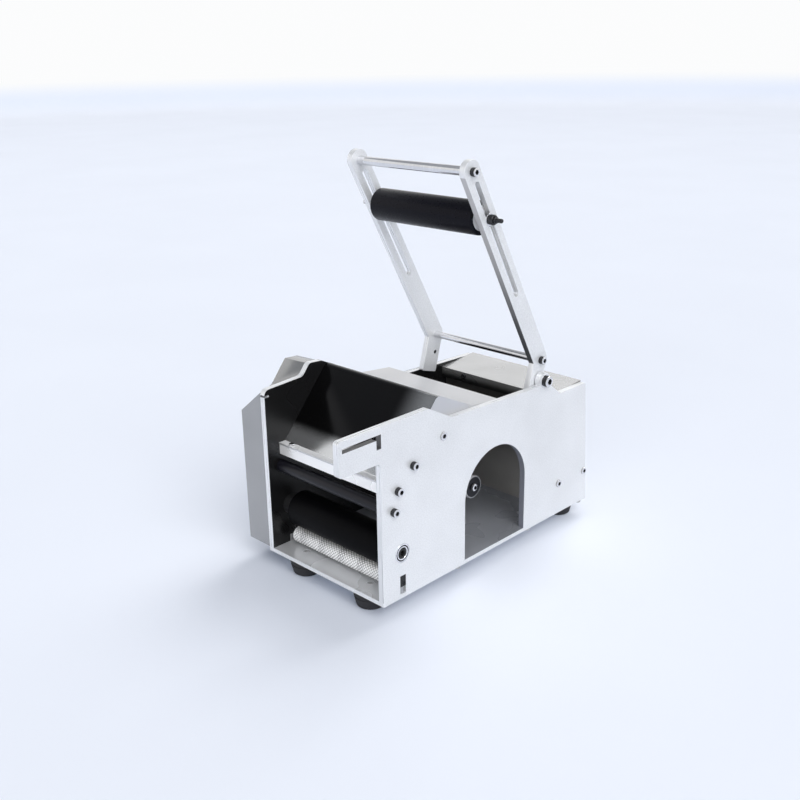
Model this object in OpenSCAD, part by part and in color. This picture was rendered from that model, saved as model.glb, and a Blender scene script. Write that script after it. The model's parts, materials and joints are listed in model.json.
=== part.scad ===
// Desk-top bottle labelling machine.
// Two side plates stand on a base plate on rubber feet. A roll of labels sits on a
// spindle behind the arch of the right plate, its web runs over a folded chute to
// the peel bar, and the bare backing is drawn down between a rubber drive roller
// and a knurled pinch roller. A swinging arm carries a press roller that holds the
// bottle. Millimetres, +X to the right plate, -Y to the front, +Z up, origin on the
// table under the middle of the machine's overall box.

/* [Chassis] */
// Depth of the side plates from front to back
body_depth = 300; // [290:1:340]
// Clear width between the side plates
bay_w = 143; // [120:1:180]
// Thickness of each side plate
plate_t = 6; // [5:0.5:8]
// Thickness of the base plate
base_t = 4; // [3:0.5:8]
// Lean of the back edge of the side plates, in degrees
back_lean = 4.3; // [0:0.1:6]
// Height of the side plates at their back corner
back_h = 127; // [118:1:129]

/* [Right plate] */
// Reach of the nose in front of the plate
nose_reach = 46; // [30:1:60]
// Height of the underside of the nose
nose_low = 131; // [126:1:136]
// Height of the top of the nose
nose_top = 163; // [158:1:166]
// Distance from the front at which the nose's top ends
nose_back = 58; // [50:1:64]
// Height of the top edge over the arch
right_top = 145; // [140:1:148]
// Height of the slot in the nose
nose_slot_h = 4.2; // [3:0.1:6]
// Depth of the hook at the inner end of the slot
nose_hook = 8.4; // [6:0.1:12]

/* [Left plate] */
// Height of the front corner
left_front_h = 159; // [155:1:162]
// Height of the hump beside the bottle
hump_h = 172.5; // [168:0.5:178]
// Distance of the front of the hump from the front edge
hump_u = 55; // [48:1:60]

/* [Arch] */
// Distance of the arch's middle from the back
arch_back = 150; // [146:1:155]
// Radius of the arch
arch_r = 44; // [40:0.5:48]
// Height at which the arch springs
arch_spring = 57; // [45:0.5:60]

/* [Drive cover] */
// Width of the drive cover beside the left plate
cover_w = 30; // [26:1:45]
// Sheet thickness of the cover
cover_wall = 1.2; // [0.8:0.1:1.5]
// Fall of the cover's top from the plate to its outer front corner
cover_fall = 24; // [10:1:30]

/* [Feet] */
// Height of the rubber feet
foot_h = 16; // [10:1:30]
// Foot diameter under the base
foot_top_d = 33; // [26:1:34]
// Foot diameter on the table
foot_low_d = 27; // [20:1:30]
// Distance between the front feet
front_spread = 87; // [70:1:110]
// Distance between the rear feet
rear_spread = 108; // [80:1:112]
// Distance of the front feet from the front
foot_front = 17; // [17:1:24]
// Distance of the rear feet from the back
foot_back = 17; // [17:1:40]

/* [Feed rollers] */
// Distance of the feed rollers from the front
feed_u = 24; // [24:0.5:30]
// Height of the drive roller's axis
drive_z = 39.5; // [38:0.5:46]
// Diameter of the drive roller's rubber
drive_d = 34; // [30:0.5:38]
// Diameter of the drive roller's steel core
drive_core_d = 20; // [14:1:26]
// Diameter of the drive roller's journals
drive_journal_d = 10; // [8:0.5:12]
// Outside diameter of the drive bearings
bearing_d = 18; // [15:1:22]
// Teeth of the drive gear
drive_teeth = 34; // [30:1:39]
// Teeth of the pinch gear
pinch_teeth = 16; // [12:1:17]
// Width of the gears
gear_w = 8; // [5:0.5:12]
// Diameter of the pinch roller's journals
pinch_journal_d = 4; // [3:0.5:5]
// Width of the slots that hold the pinch blocks
pinch_slot_w = 7; // [6:0.5:9]
// Height of the slots that hold the pinch blocks
pinch_slot_h = 18; // [16:0.5:22]
// Diameter of the guide roller
guide_d = 12; // [9:0.5:14]
// Diameter of the guide roller's axle
guide_axle_d = 6; // [5:0.5:8]
// Distance of the guide roller from the front
guide_u = 13.5; // [12:0.5:18]
// Height of the guide roller
guide_z = 82.5; // [76:0.5:84]

/* [Label chute] */
// Sheet thickness of the chute
chute_t = 1.5; // [1:0.1:2]
// Distance of the ridge from the front
ridge_u = 76; // [72:0.5:80]
// Height of the ridge
ridge_z = 169; // [165:0.5:172]
// Bend radius of the ridge
ridge_r = 7; // [4:0.5:10]
// Distance of the fold behind the ridge from the front
fold_u = 122; // [115:1:126]
// Height of the fold
fold_z = 147; // [144:0.5:150]
// Distance of the chute's tail from the front
tail_u = 160; // [150:1:168]
// Drop of the tail behind the fold
tail_drop = 4; // [2:0.5:8]
// Depth of the peel bar from front to back
peel_depth = 10; // [8:0.5:14]
// Height of the peel bar
peel_h = 10; // [8:0.5:12]
// Distance of the peel bar from the front
peel_u = 14; // [11:0.5:16]
// Height of the peel bar's underside
peel_z = 93.5; // [92:0.5:98]

/* [Tie rods] */
// Diameter of the tie rods
tie_d = 6; // [6:0.5:8]
// Distance of the chute's tie rod from the front
tie_u = 38; // [38:0.5:44]
// Height of the chute's tie rod
tie_z = 117.5; // [110:0.5:117.5]
// Height of the tie rod under the ridge
ridge_tie_z = 133; // [128:0.5:140]

/* [Label spindle] */
// Height of the label spindle
spindle_z = 49; // [46:0.5:54]
// Diameter of the spindle's core
spindle_d = 20; // [16:0.5:26]
// Diameter of the spindle's shaft
spindle_shaft_d = 10; // [8:0.5:12]
// Distance of the spindle's end from the right face
spindle_end = 30; // [20:1:50]

/* [Rear housing] */
// Thickness of the inner wall
wall_t = 8; // [6:0.5:10]
// Distance of the inner wall's middle from the back
wall_back = 50; // [46:1:56]
// Thickness of the rear panel
panel_t = 8; // [7:0.5:10]
// Sheet thickness of the rear cover
lid_t = 1.5; // [1:0.1:2.5]
// Length of the rear cover's front lip
lip_h = 11; // [8:0.5:14]
// Distance of the lip from the back
lip_back = 60; // [58:0.5:64]
// Depth of the lip's fold below the plates' back corner
lid_drop = 2.7; // [2:0.1:4]
// Rise of the rear cover from the lip to the back
lid_rise = 4.2; // [0:0.1:5]
// Height of the screws of the rear walls
wall_screw_z = 29.5; // [20:0.5:60]

/* [Press arm] */
// Distance of the arm's pivot from the back
pivot_back = 78.5; // [74:0.5:80]
// Height of the arm's pivot
pivot_z = 146.5; // [144:0.5:150]
// Radius of the right ear, which holds the pivot bolt
ear_r = 8; // [7.5:0.5:11]
// Radius of the left ear, which holds the pivot pin
pin_ear_r = 6; // [5:0.5:8]
// Diameter of the right pivot bolt
pivot_d = 8; // [6:0.5:9]
// Diameter of the left pivot pin
pin_d = 4; // [3:0.5:5]
// Width of the arm plates
arm_w = 20; // [16:0.5:22]
// Thickness of the arm plates
arm_t = 6; // [4:0.5:8]
// Gap between an arm plate and its side plate
arm_gap = 1; // [0.8:0.1:2]
// Distance from the pivot up to the elbow
elbow_rise = 19; // [18:0.5:26]
// Distance from the pivot back to the elbow
elbow_back = 1.5; // [0:0.5:4]
// Length of the arm from the elbow to the handle bar
arm_len = 213.6; // [190:0.2:230]
// Lean of the arm, in degrees from the vertical
arm_lean = 28.75; // [20:0.25:40]
// Length of the legs below the elbow
leg_len = 39.5; // [34:0.5:42]
// Lean of the legs, in degrees from the vertical
leg_lean = 16; // [0:0.5:18]
// Width of the slots in the arm plates
arm_slot_w = 6.2; // [6.2:0.1:8]
// Distance from the handle bar to the slot's upper centre
slot_near = 13.5; // [13:0.5:18]
// Length of the slot between its end centres
slot_len = 117.5; // [100:0.5:124]
// Distance from the handle bar to the press roller
press_at = 48.3; // [40:0.1:70]
// Diameter of the handle bar
handle_d = 8; // [7:0.5:12]
// Diameter of the cross bar
cross_d = 7; // [7:0.5:10]
// Diameter of the press roller
press_d = 30; // [26:0.5:36]
// Thickness of the press roller's rubber
press_rubber_t = 4; // [2:0.5:6]
// Diameter of the press roller's axle
press_axle_d = 6; // [5:0.1:6]
// Diameter of the threaded ends of the press roller's axle
stud_d = 4; // [3:0.5:5]
// Diameter of the clamp nuts
clamp_d = 9; // [8.5:0.5:14]
// Thickness of the clamp nuts
clamp_h = 5; // [4:0.5:8]

/* [Fits] */
// Radial clearance of a shaft that turns in a hole
run_fit = 0.05; // [0.02:0.01:0.1]
// Clearance of pieces that stay fixed in each other
seat_fit = 0.05; // [0.02:0.01:0.1]
// Opening between the two feed rollers, shown wide as for threading a web
nip_gap = 4; // [0.2:0.1:4.5]
// Clearance between a turning end face and what is beside it
end_gap = 0.3; // [0.2:0.05:0.6]

/* [Fasteners] */
// Diameter of the large screws
bolt_d = 4; // [3.5:0.1:4]
// Diameter of the large screws' heads
bolt_head_d = 7.5; // [7:0.1:8]
// Height of the large screws' heads
bolt_head_h = 5; // [3:0.1:6]
// Height of the low screws' heads
low_head_h = 1.8; // [1.2:0.1:2.6]
// Diameter of the small screws
pin_screw_d = 3; // [2.5:0.1:3]
// Diameter of the small screws' heads
pin_head_d = 5.6; // [5:0.1:6.4]
// Depth to which a screw goes into a piece
screw_depth = 10; // [8:0.5:14]

/* [Hidden] */
$fn = 64;
eps = 0.01;

// Widths, from the left cover to the right plate
body_w = cover_w + 2 * plate_t + bay_w;
right_out = body_w / 2;
right_in = right_out - plate_t;
left_in = right_in - bay_w;
left_out = left_in - plate_t;
cover_out = -right_out;
deck_z = foot_h + base_t;

// Distances from the front that follow from the depth
arch_u = body_depth - arch_back;
pivot_u = body_depth - pivot_back;

// Hump of the left plate and the shoulder where its back edge begins
hump_len = 15;
shoulder_u = arch_u + 6;
shoulder_z = hump_h - 42;

// Back edge of the side plates at a height
function back_at(z) = body_depth - z * tan(back_lean);

// Feed rollers and their gears
pinch_d = drive_d * pinch_teeth / drive_teeth;
feed_pitch = (drive_d + pinch_d) / 2 + nip_gap;
pinch_z = drive_z - feed_pitch;
gear_module = 2 * feed_pitch / (drive_teeth + pinch_teeth);
gear_pressure = 20;
gear_addendum = 0.7 * gear_module;
gear_dedendum = gear_module;
gear_backlash = 0.2;
gear_gap = 2;
gear_x = left_out - gear_gap - gear_w;
drive_rubber_inset = 15;
drive_rubber_end = 3;
pinch_inset = 10;
pinch_end = 2;
journal_recess = 0.5;
guide_end = 2;
socket_af = 5;
socket_depth = 6;
block_low = 7;
set_screw_d = 5;

// Chute, peel bar and tie rods
side_gap = 0.1;
lip_over = 0.5;
flange_front = 8;
tail_flange = 12;
peel_top = peel_z + peel_h;
peel_lip = 7;
peel_screw_inset = 14;
peel_bolt_u = peel_u + peel_depth / 2;
peel_bolt_z = peel_top - 3.5;
flange_low = tie_z - tie_d / 2 - 2;
chute_x0 = left_in + side_gap;
chute_x1 = right_in - side_gap;
rod_x0 = chute_x0 + chute_t;
rod_x1 = chute_x1 - chute_t;
peel_screw_u = peel_u + peel_lip / 2;
peel_screws_x = [chute_x0 + peel_screw_inset, chute_x1 - peel_screw_inset];

// Label spindle
disc_t = 3;
disc_rim = 1.5;
bush_wall = 3;
bush_flange = 3;
bush_flange_t = 2;
collar_wall = 4;
collar_t = 8;
shaft_tail = 12;
spindle_shift = 3;
spindle_at = [arch_u + spindle_shift, spindle_z];
spindle_x1 = right_out - spindle_end - disc_t;

// Rear housing
lip_u = body_depth - lip_back;
lid_z = back_h - lid_drop;
lid_back_z = lid_z + lid_rise;
lid_depth = back_at(back_h) - lip_u;
lid_lean = atan2(lid_rise, lid_depth);
wall_u = body_depth - wall_back;
sleeve_d = pin_screw_d + 1.6;
lip_screw_drop = lid_t + sleeve_d / 2 + 0.3;
lip_screw_inset = 31;
lip_gap = wall_u - wall_t / 2 - lip_u - lid_t;

// Press arm, whose right face is one gap inside the right plate
arm_right_out = right_in - arm_gap;
arm_right_in = arm_right_out - arm_t;
arm_left_out = left_in + arm_gap;
arm_left_in = arm_left_out + arm_t;
elbow = [pivot_u + elbow_back, pivot_z + elbow_rise];
arm_dir = [sin(arm_lean), -cos(arm_lean)];
leg_dir = [-sin(leg_lean), -cos(leg_lean)];
handle_at = elbow - arm_len * arm_dir;
press_pos = handle_at + press_at * arm_dir;
washer_t = 0.8;
leg_corner = 1.5;
near_round = 0.49;
pivot_head_d = 11;
pivot_head_h = 5;
press_end_gap = 3;
bush_d = 12;
bush_len = 12;
axle_stud = 14;
clamp_step = 1.5;
clamp_step_h = 2;
washer_rim = 2.5;

// Middle of the overall width, from the cover's screws to the end of the press axle
mid_x = (cover_out - low_head_h + arm_right_out + axle_stud) / 2;

// Screw places shared by the plates
arch_foot = 8.75;
base_screws_u = [arch_u - arch_r - arch_foot, arch_u + arch_r + arch_foot, body_depth - 10.5];
tie_points = [[tie_u, tie_z], [peel_bolt_u, peel_bolt_z]];
low_points = [
    [ridge_u, ridge_tie_z],
    [wall_u, wall_screw_z],
    [back_at(wall_screw_z) - panel_t / 2 - seat_fit, wall_screw_z]
];
plates_mid = (left_out + right_out) / 2;
foot_points = [
    for (side = [-1, 1])
        each [
            [plates_mid + side * front_spread / 2, foot_front],
            [plates_mid + side * rear_spread / 2, body_depth - foot_back]
        ]
];
nut_h = 3;
cover_post_d = 9;
cover_posts_at = [
    [55, 14], [45, 95], [arch_u - 31, 100], [body_depth - 16, 12], [body_depth - 20, 85]
];

// Outline helpers
function unit(v) = v / norm(v);

// Points of the arc that rounds the corner b between a and c
function fillet(a, b, c, r, steps = 8) =
    let (
        d1 = unit(a - b),
        d2 = unit(c - b),
        half = acos(d1 * d2) / 2,
        centre = b + unit(d1 + d2) * r / sin(half),
        start = b + d1 * r / tan(half) - centre,
        stop = b + d2 * r / tan(half) - centre,
        a0 = atan2(start.y, start.x),
        sweep = (atan2(stop.y, stop.x) - a0 + 540) % 360 - 180
    )
    [for (i = [0 : steps]) centre + r * [cos(a0 + sweep * i / steps), sin(a0 + sweep * i / steps)]];

// Closed outline from corners given as [u, z, radius]
function outline(corners) =
    let (n = len(corners), flat = [for (c = corners) [c[0], c[1]]])
    [
        for (i = [0 : n - 1])
            each corners[i][2] > 0
                ? fillet(flat[(i + n - 1) % n], flat[i], flat[(i + 1) % n], corners[i][2])
                : [flat[i]]
    ];

// Left-hand normal of a path at a point, long enough to keep the sheet's thickness
function path_normal(path, i) =
    let (
        last = len(path) - 1,
        d1 = unit(path[max(i, 1)] - path[max(i, 1) - 1]),
        d2 = unit(path[min(i, last - 1) + 1] - path[min(i, last - 1)]),
        n1 = [-d1.y, d1.x],
        n2 = [-d2.y, d2.x]
    )
    (n1 + n2) / (1 + n1 * n2);

// Cross-section of a folded sheet whose upper face follows a path
function sheet(path, t) =
    let (last = len(path) - 1)
    concat(path, [for (i = [last : -1 : 0]) path[i] - t * path_normal(path, i)]);

// Closed outline moved inwards by w, for an outline that runs clockwise
function inset(points, w) =
    let (n = len(points))
    [
        for (i = [0 : n - 1])
            let (
                d1 = unit(points[i] - points[(i + n - 1) % n]),
                d2 = unit(points[(i + 1) % n] - points[i]),
                n1 = [d1.y, -d1.x],
                n2 = [d2.y, -d2.x]
            )
            points[i] + w * (n1 + n2) / (1 + n1 * n2)
    ];

// Involute angle at radius r on a gear of base radius rb
function involute(rb, r) =
    let (a = acos(min(1, rb / r))) tan(a) * 180 / PI - a;

// Half the angle that a tooth fills at radius r
function tooth_half(teeth, r) =
    let (
        pitch_r = gear_module * teeth / 2,
        rb = pitch_r * cos(gear_pressure),
        at_pitch = 90 / teeth - gear_backlash / pitch_r * 90 / PI
    )
    at_pitch + involute(rb, pitch_r) - involute(rb, max(r, rb));

// Outline of a spur gear with a tooth at the given angle
function gear_outline(teeth, first) =
    let (
        pitch_r = gear_module * teeth / 2,
        radii = [pitch_r - gear_dedendum, pitch_r - 0.35 * gear_module, pitch_r, pitch_r + gear_addendum],
        last = len(radii) - 1
    )
    [
        for (i = [0 : teeth - 1])
            each concat(
                [
                    for (k = [0 : last])
                        let (a = first + 360 * i / teeth - tooth_half(teeth, radii[k]))
                        radii[k] * [cos(a), sin(a)]
                ],
                [
                    for (k = [last : -1 : 0])
                        let (a = first + 360 * i / teeth + tooth_half(teeth, radii[k]))
                        radii[k] * [cos(a), sin(a)]
                ]
            )
    ];

// Place helpers: x across, u from the front, z above the base plate
module from_front() {
    translate([-mid_x, -(body_depth - nose_reach) / 2, deck_z]) children();
}

// Extrudes a (u, z) outline from x0 to x1
module across(x0, x1) {
    translate([x0, 0, 0]) rotate([90, 0, 90]) linear_extrude(x1 - x0) children();
}

// Round bar across the machine
module bar(x0, x1, at, d) {
    translate([x0, at.x, at.y]) rotate([0, 90, 0]) cylinder(d = d, h = x1 - x0);
}

// Puts a piece that points along +Z on a face that looks to one side
module facing(x, at, side) {
    translate([x, at.x, at.y]) rotate([0, side * 90, 0]) children();
}

// Outer face of the side plate on one side
function plate_face(side) = side > 0 ? right_out : left_out;

// Outer face of the arm plate on one side
function arm_face(side) = side > 0 ? arm_right_out : arm_left_out;

// Outer face of the chute on one side
function chute_face(side) = side > 0 ? chute_x1 : chute_x0;

// Diameter of the arm's pivot on one side: a bolt on the right, a pin on the left
function pivot_dia(side) = side > 0 ? pivot_d : pin_d;

// End of the press roller on one side
function press_end(side) =
    side > 0 ? arm_right_in - press_end_gap - end_gap : arm_left_in + press_end_gap + end_gap;

// Screw along Z whose head stands on z = 0
module screw(d, head_d, head_h, depth) {
    difference() {
        union() {
            cylinder(d = head_d, h = head_h);
            translate([0, 0, -depth]) cylinder(d = d, h = depth + head_h / 2);
        }
        translate([0, 0, head_h * 0.45]) cylinder(d = head_d * 0.55, h = head_h, $fn = 6);
    }
}

// Hole for a screw along Z, from its seat down
module screw_hole(d, depth) {
    translate([0, 0, -depth]) cylinder(d = d + 2 * seat_fit, h = depth + eps);
}

// Ring along Z
module ring(outer_d, inner_d, h) {
    difference() {
        cylinder(d = outer_d, h = h);
        translate([0, 0, -eps]) cylinder(d = inner_d, h = h + 2 * eps);
    }
}

// Screws through the rear cover's lip, whose heads look to the front, from a distance u
module at_lip_screws(u) {
    for (x = [left_in + lip_screw_inset, right_in - lip_screw_inset])
        translate([x, u, lid_z - lip_screw_drop]) rotate([90, 0, 0]) children();
}

// Everything that lies above the rear cover's underside
module above_lid() {
    translate([left_in, lip_u, lid_z]) rotate([lid_lean, 0, 0])
        translate([0, -lid_depth, -lid_t - eps]) cube([bay_w, 3 * lid_depth, lid_depth]);
}

// Holes that the two side plates have in common
module plate_holes(side) {
    face = plate_face(side);
    for (at = tie_points) facing(face, at, side) screw_hole(bolt_d, plate_t + eps);
    for (at = low_points) facing(face, at, side) screw_hole(bolt_d, plate_t + eps);
    facing(face, [guide_u, guide_z], side) screw_hole(bolt_d, plate_t + eps);
    facing(face, [feed_u, drive_z], side) screw_hole(bearing_d, plate_t + eps);
    facing(face, [pivot_u, pivot_z], side)
        translate([0, 0, -plate_t - eps])
            cylinder(d = pivot_dia(side) + 2 * run_fit, h = plate_t + 2 * eps);
    for (u = base_screws_u)
        translate([face - side * plate_t / 2, u, screw_depth]) screw_hole(bolt_d, screw_depth + eps);
    translate([face - side * plate_t / 2, feed_u, pinch_slot_h / 2])
        cube([plate_t + 1, pinch_slot_w, pinch_slot_h + eps], center = true);
}

// Base plate, with holes for the feet, the side plates and the pinch set screws
module base_plate() {
    from_front() color("gainsboro") difference() {
        translate([left_out, 0, -base_t]) cube([right_out - left_out, body_depth, base_t]);
        for (p = foot_points) {
            translate([p.x, p.y, 0]) screw_hole(bolt_head_d, low_head_h);
            translate([p.x, p.y, eps]) screw_hole(bolt_d, base_t + 2 * eps);
        }
        for (side = [-1, 1]) {
            x = plate_face(side) - side * plate_t / 2;
            for (u = base_screws_u) translate([x, u, eps]) screw_hole(bolt_d, base_t + 2 * eps);
            translate([x, feed_u, eps]) screw_hole(set_screw_d, base_t + 2 * eps);
        }
    }
}

// Ear of a side plate with the stem below it, a little narrower than the ear
module ear(x0, x1, r) {
    stem_w = 1.8 * r;
    bar(x0, x1, [pivot_u, pivot_z], 2 * r);
    across(x0, x1)
        translate([pivot_u - stem_w / 2, spindle_z]) square([stem_w, pivot_z - spindle_z]);
}

// Right plate with its nose, hooked slot, arch and ear
module right_side_plate() {
    slot_low = nose_top - 10.5;
    slot_front = 4 - nose_reach;
    slot_back = 1;
    hook_w = 5.2;
    corners = [
        [0, 0, 0], [0, nose_low, 4], [-nose_reach, nose_low + 1, 3], [-nose_reach, nose_top, 3],
        [nose_back, nose_top, 6], [nose_back + 30, right_top + 2, 10], [lip_u - 12, right_top - 3, 6],
        [lip_u + 8, back_h, 4], [back_at(back_h), back_h, 2], [body_depth, 0, 0]
    ];
    from_front() color("whitesmoke") difference() {
        union() {
            across(right_in, right_out) polygon(outline(corners));
            ear(right_in, right_out, ear_r);
        }
        bar(right_in - 1, right_out + 1, [arch_u, arch_spring], 2 * arch_r);
        translate([right_in - 1, arch_u - arch_r, -1]) cube([plate_t + 2, 2 * arch_r, arch_spring + 1]);
        translate([right_in - 1, slot_front, slot_low])
            cube([plate_t + 2, slot_back - slot_front, nose_slot_h]);
        translate([right_in - 1, slot_back - hook_w, slot_low - nose_hook])
            cube([plate_t + 2, hook_w, nose_hook + nose_slot_h]);
        plate_holes(1);
    }
}

// Left plate with the hump beside the bottle, a front notch and the other ear
module left_side_plate() {
    notch_z = left_front_h - 7;
    notch_depth = 5;
    notch_h = 2;
    corners = [
        [0, 0, 0], [0, left_front_h, 6], [hump_u - 9, left_front_h + 2.5, 7], [hump_u, hump_h, 6],
        [hump_u + hump_len, hump_h - 1, 12], [shoulder_u, shoulder_z, 10], [back_at(back_h), back_h, 2],
        [body_depth, 0, 0]
    ];
    from_front() color("dimgray") difference() {
        union() {
            across(left_out, left_in) polygon(outline(corners));
            ear(left_out, left_in, pin_ear_r);
        }
        translate([left_out - 1, -1, notch_z]) cube([plate_t + 2, notch_depth + 1, notch_h]);
        facing(left_out, spindle_at, -1) screw_hole(spindle_shaft_d + 2 * bush_wall, plate_t + eps);
        for (at = low_points) facing(left_out, at, -1) screw_hole(bolt_head_d, low_head_h);
        for (p = cover_posts_at) facing(left_out, p, -1) screw_hole(bolt_d, plate_t + eps);
        plate_holes(-1);
    }
}

// Outline of the drive cover against the plate and at its outer face
cover_plate_side = [
    [0, 0], [0, left_front_h - 3], [hump_u - 9, left_front_h + 1], [hump_u, hump_h - 1],
    [hump_u + hump_len, hump_h - 2], [shoulder_u, shoulder_z - 1], [back_at(back_h), back_h], [body_depth, 0]
];
cover_outer_side = [
    [0, 0], [0, left_front_h - 3 - cover_fall], [hump_u - 18, left_front_h - 11], [hump_u, hump_h - 2.5],
    [hump_u + hump_len, hump_h - 3.5], [shoulder_u, shoulder_z - cover_fall / 2],
    [back_at(back_h), back_h - cover_fall], [body_depth, 0]
];

// Solid between two outlines with as many points, at x0 and x1
module loft(outline0, x0, outline1, x1) {
    n = len(outline0);
    points = concat([for (p = outline0) [x0, p.x, p.y]], [for (p = outline1) [x1, p.x, p.y]]);
    sides = [
        for (i = [0 : n - 1])
            let (j = (i + 1) % n)
            each [[i, j, n + j], [i, n + j, n + i]]
    ];
    caps = [[for (i = [n - 1 : -1 : 0]) i], [for (i = [0 : n - 1]) n + i]];
    polyhedron(points, concat(sides, caps));
}

// Folded cover over the gears, open towards the left plate and, below the pinch gear, in its floor
module drive_cover() {
    from_front() color("silver") difference() {
        loft(cover_outer_side, cover_out, cover_plate_side, left_out);
        loft(
            inset(cover_outer_side, cover_wall), cover_out + cover_wall,
            inset(cover_plate_side, cover_wall), left_out + 1
        );
        for (p = cover_posts_at) facing(cover_out, p, -1) screw_hole(bolt_d, cover_wall + eps);
        translate([cover_out + cover_wall, feed_u - pinch_d / 2, -1])
            cube([cover_w, pinch_d, cover_wall + 2]);
    }
}

// Posts that hold the cover off the left plate
module cover_posts() {
    from_front() color("silver") for (p = cover_posts_at)
        difference() {
            bar(cover_out + cover_wall, left_out, p, cover_post_d);
            facing(cover_out + cover_wall, p, -1) screw_hole(bolt_d, screw_depth);
            facing(left_out, p, 1) screw_hole(bolt_d, screw_depth);
        }
}

// Screws that close the cover, and those that hold its posts
module cover_screws() {
    from_front() color("darkgray") for (p = cover_posts_at) {
        facing(cover_out, p, -1)
            screw(bolt_d, bolt_head_d, low_head_h, screw_depth + cover_wall - 1);
        facing(left_in, p, 1) screw(bolt_d, bolt_head_d, low_head_h, screw_depth + plate_t - 1);
    }
}

// Rubber feet
module rubber_feet() {
    from_front() color("black") for (p = foot_points)
        translate([p.x, p.y, -deck_z]) difference() {
            cylinder(d1 = foot_low_d, d2 = foot_top_d, h = foot_h);
            translate([0, 0, -eps]) cylinder(d = bolt_head_d + 2, h = foot_h / 2 + eps);
            cylinder(d = bolt_d + 2 * seat_fit, h = foot_h + eps);
        }
}

// Screws of the feet, flush with the base plate, and their nuts inside the feet
module foot_screws() {
    seat_z = -base_t - foot_h / 2;
    from_front() color("darkgray") for (p = foot_points) {
        translate([p.x, p.y, -low_head_h])
            screw(bolt_d, bolt_head_d, low_head_h, nut_h + 1 - low_head_h - seat_z);
        translate([p.x, p.y, seat_z - nut_h]) difference() {
            cylinder(d = bolt_head_d + 1, h = nut_h, $fn = 6);
            translate([0, 0, -1]) cylinder(d = bolt_d + 2 * seat_fit, h = nut_h + 2);
        }
    }
}

// Pan-head screws that hold the side plates from below
module base_screws() {
    from_front() color("darkgray") for (side = [-1, 1])
        for (u = base_screws_u)
            translate([plate_face(side) - side * plate_t / 2, u, -base_t]) rotate([180, 0, 0])
                screw(bolt_d, bolt_head_d, low_head_h, base_t + screw_depth - 1);
}

// Upper face of the chute, from the peel bar over the ridge to the tail
chute_path = concat(
    [[peel_u - lip_over, peel_top + chute_t], [peel_u + peel_lip, peel_top + chute_t]],
    fillet([peel_u + peel_lip, peel_top + chute_t], [ridge_u, ridge_z], [fold_u, fold_z], ridge_r),
    [[fold_u, fold_z], [tail_u, fold_z - tail_drop]]
);

// Folded label chute with a down-turned flange on each side
module label_chute() {
    section = sheet(chute_path, chute_t);
    flange = concat(
        [for (i = [1 : len(chute_path) - 1]) chute_path[i] - chute_t / 2 * path_normal(chute_path, i)],
        [[tail_u, fold_z - tail_drop - tail_flange], [fold_u, flange_low], [tie_u - flange_front, flange_low]]
    );
    from_front() color("silver") difference() {
        union() {
            across(chute_x0, chute_x1) polygon(section);
            across(chute_x0, rod_x0) polygon(flange);
            across(rod_x1, chute_x1) polygon(flange);
        }
        for (side = [-1, 1])
            for (at = [[tie_u, tie_z], [ridge_u, ridge_tie_z]])
                facing(chute_face(side), at, side)
                    translate([0, 0, eps]) screw_hole(bolt_d, chute_t + 3 * eps);
        for (x = peel_screws_x)
            translate([x, peel_screw_u, peel_top + chute_t]) screw_hole(pin_screw_d, chute_t + 2 * eps);
    }
}

// Bar over whose front edge the labels peel off
module peel_bar() {
    from_front() color("white") difference() {
        translate([chute_x0, peel_u, peel_z]) cube([chute_x1 - chute_x0, peel_depth, peel_h]);
        for (side = [-1, 1])
            facing(chute_face(side), [peel_bolt_u, peel_bolt_z], side) screw_hole(bolt_d, screw_depth);
        for (x = peel_screws_x)
            translate([x, peel_screw_u, peel_top]) screw_hole(pin_screw_d, peel_h - 1);
    }
}

// Small screws that hold the chute on the peel bar
module peel_screws() {
    from_front() color("darkgray") for (x = peel_screws_x)
        translate([x, peel_screw_u, peel_top + chute_t])
            screw(pin_screw_d, pin_head_d, low_head_h, chute_t + peel_h - 2);
}

// Rod between the chute's flanges, tapped at both ends
module flange_rod(at) {
    difference() {
        bar(rod_x0, rod_x1, at, tie_d);
        facing(rod_x1, at, 1) screw_hole(bolt_d, screw_depth);
        facing(rod_x0, at, -1) screw_hole(bolt_d, screw_depth);
    }
}

// Tie rod under the front slope of the chute
module chute_tie_rod() {
    from_front() color("silver") flange_rod([tie_u, tie_z]);
}

// Tie rod under the ridge
module ridge_tie_rod() {
    from_front() color("silver") flange_rod([ridge_u, ridge_tie_z]);
}

// Cap screws of the tie rod, the peel bar and the guide axle
module plate_bolts() {
    from_front() color("dimgray") for (side = [-1, 1])
        for (at = concat(tie_points, [[guide_u, guide_z]]))
            facing(plate_face(side), at, side)
                screw(bolt_d, bolt_head_d, bolt_head_h, plate_t + screw_depth - 1);
}

// Low-head screws of the ridge rod, the inner wall and the rear panel, sunk under the drive cover
module wall_screws() {
    depth = plate_t + screw_depth - 1;
    from_front() color("darkgray") for (at = low_points) {
        facing(right_out, at, 1) screw(bolt_d, bolt_head_d, low_head_h, depth);
        facing(left_out + low_head_h, at, -1) screw(bolt_d, bolt_head_d, low_head_h, depth - low_head_h);
    }
}

// Tapped holes at both ends of a wall between the plates
module wall_ends(at) {
    for (side = [-1, 1])
        facing(chute_face(side), at, side) screw_hole(bolt_d, screw_depth);
}

// Wall behind the label roll
module inner_back_wall() {
    from_front() color("dimgray") difference() {
        translate([chute_x0, wall_u - wall_t / 2, 0]) cube([chute_x1 - chute_x0, wall_t, back_h]);
        above_lid();
        wall_ends(low_points[1]);
        at_lip_screws(wall_u - wall_t / 2) screw_hole(pin_screw_d, wall_t - 1);
    }
}

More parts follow.
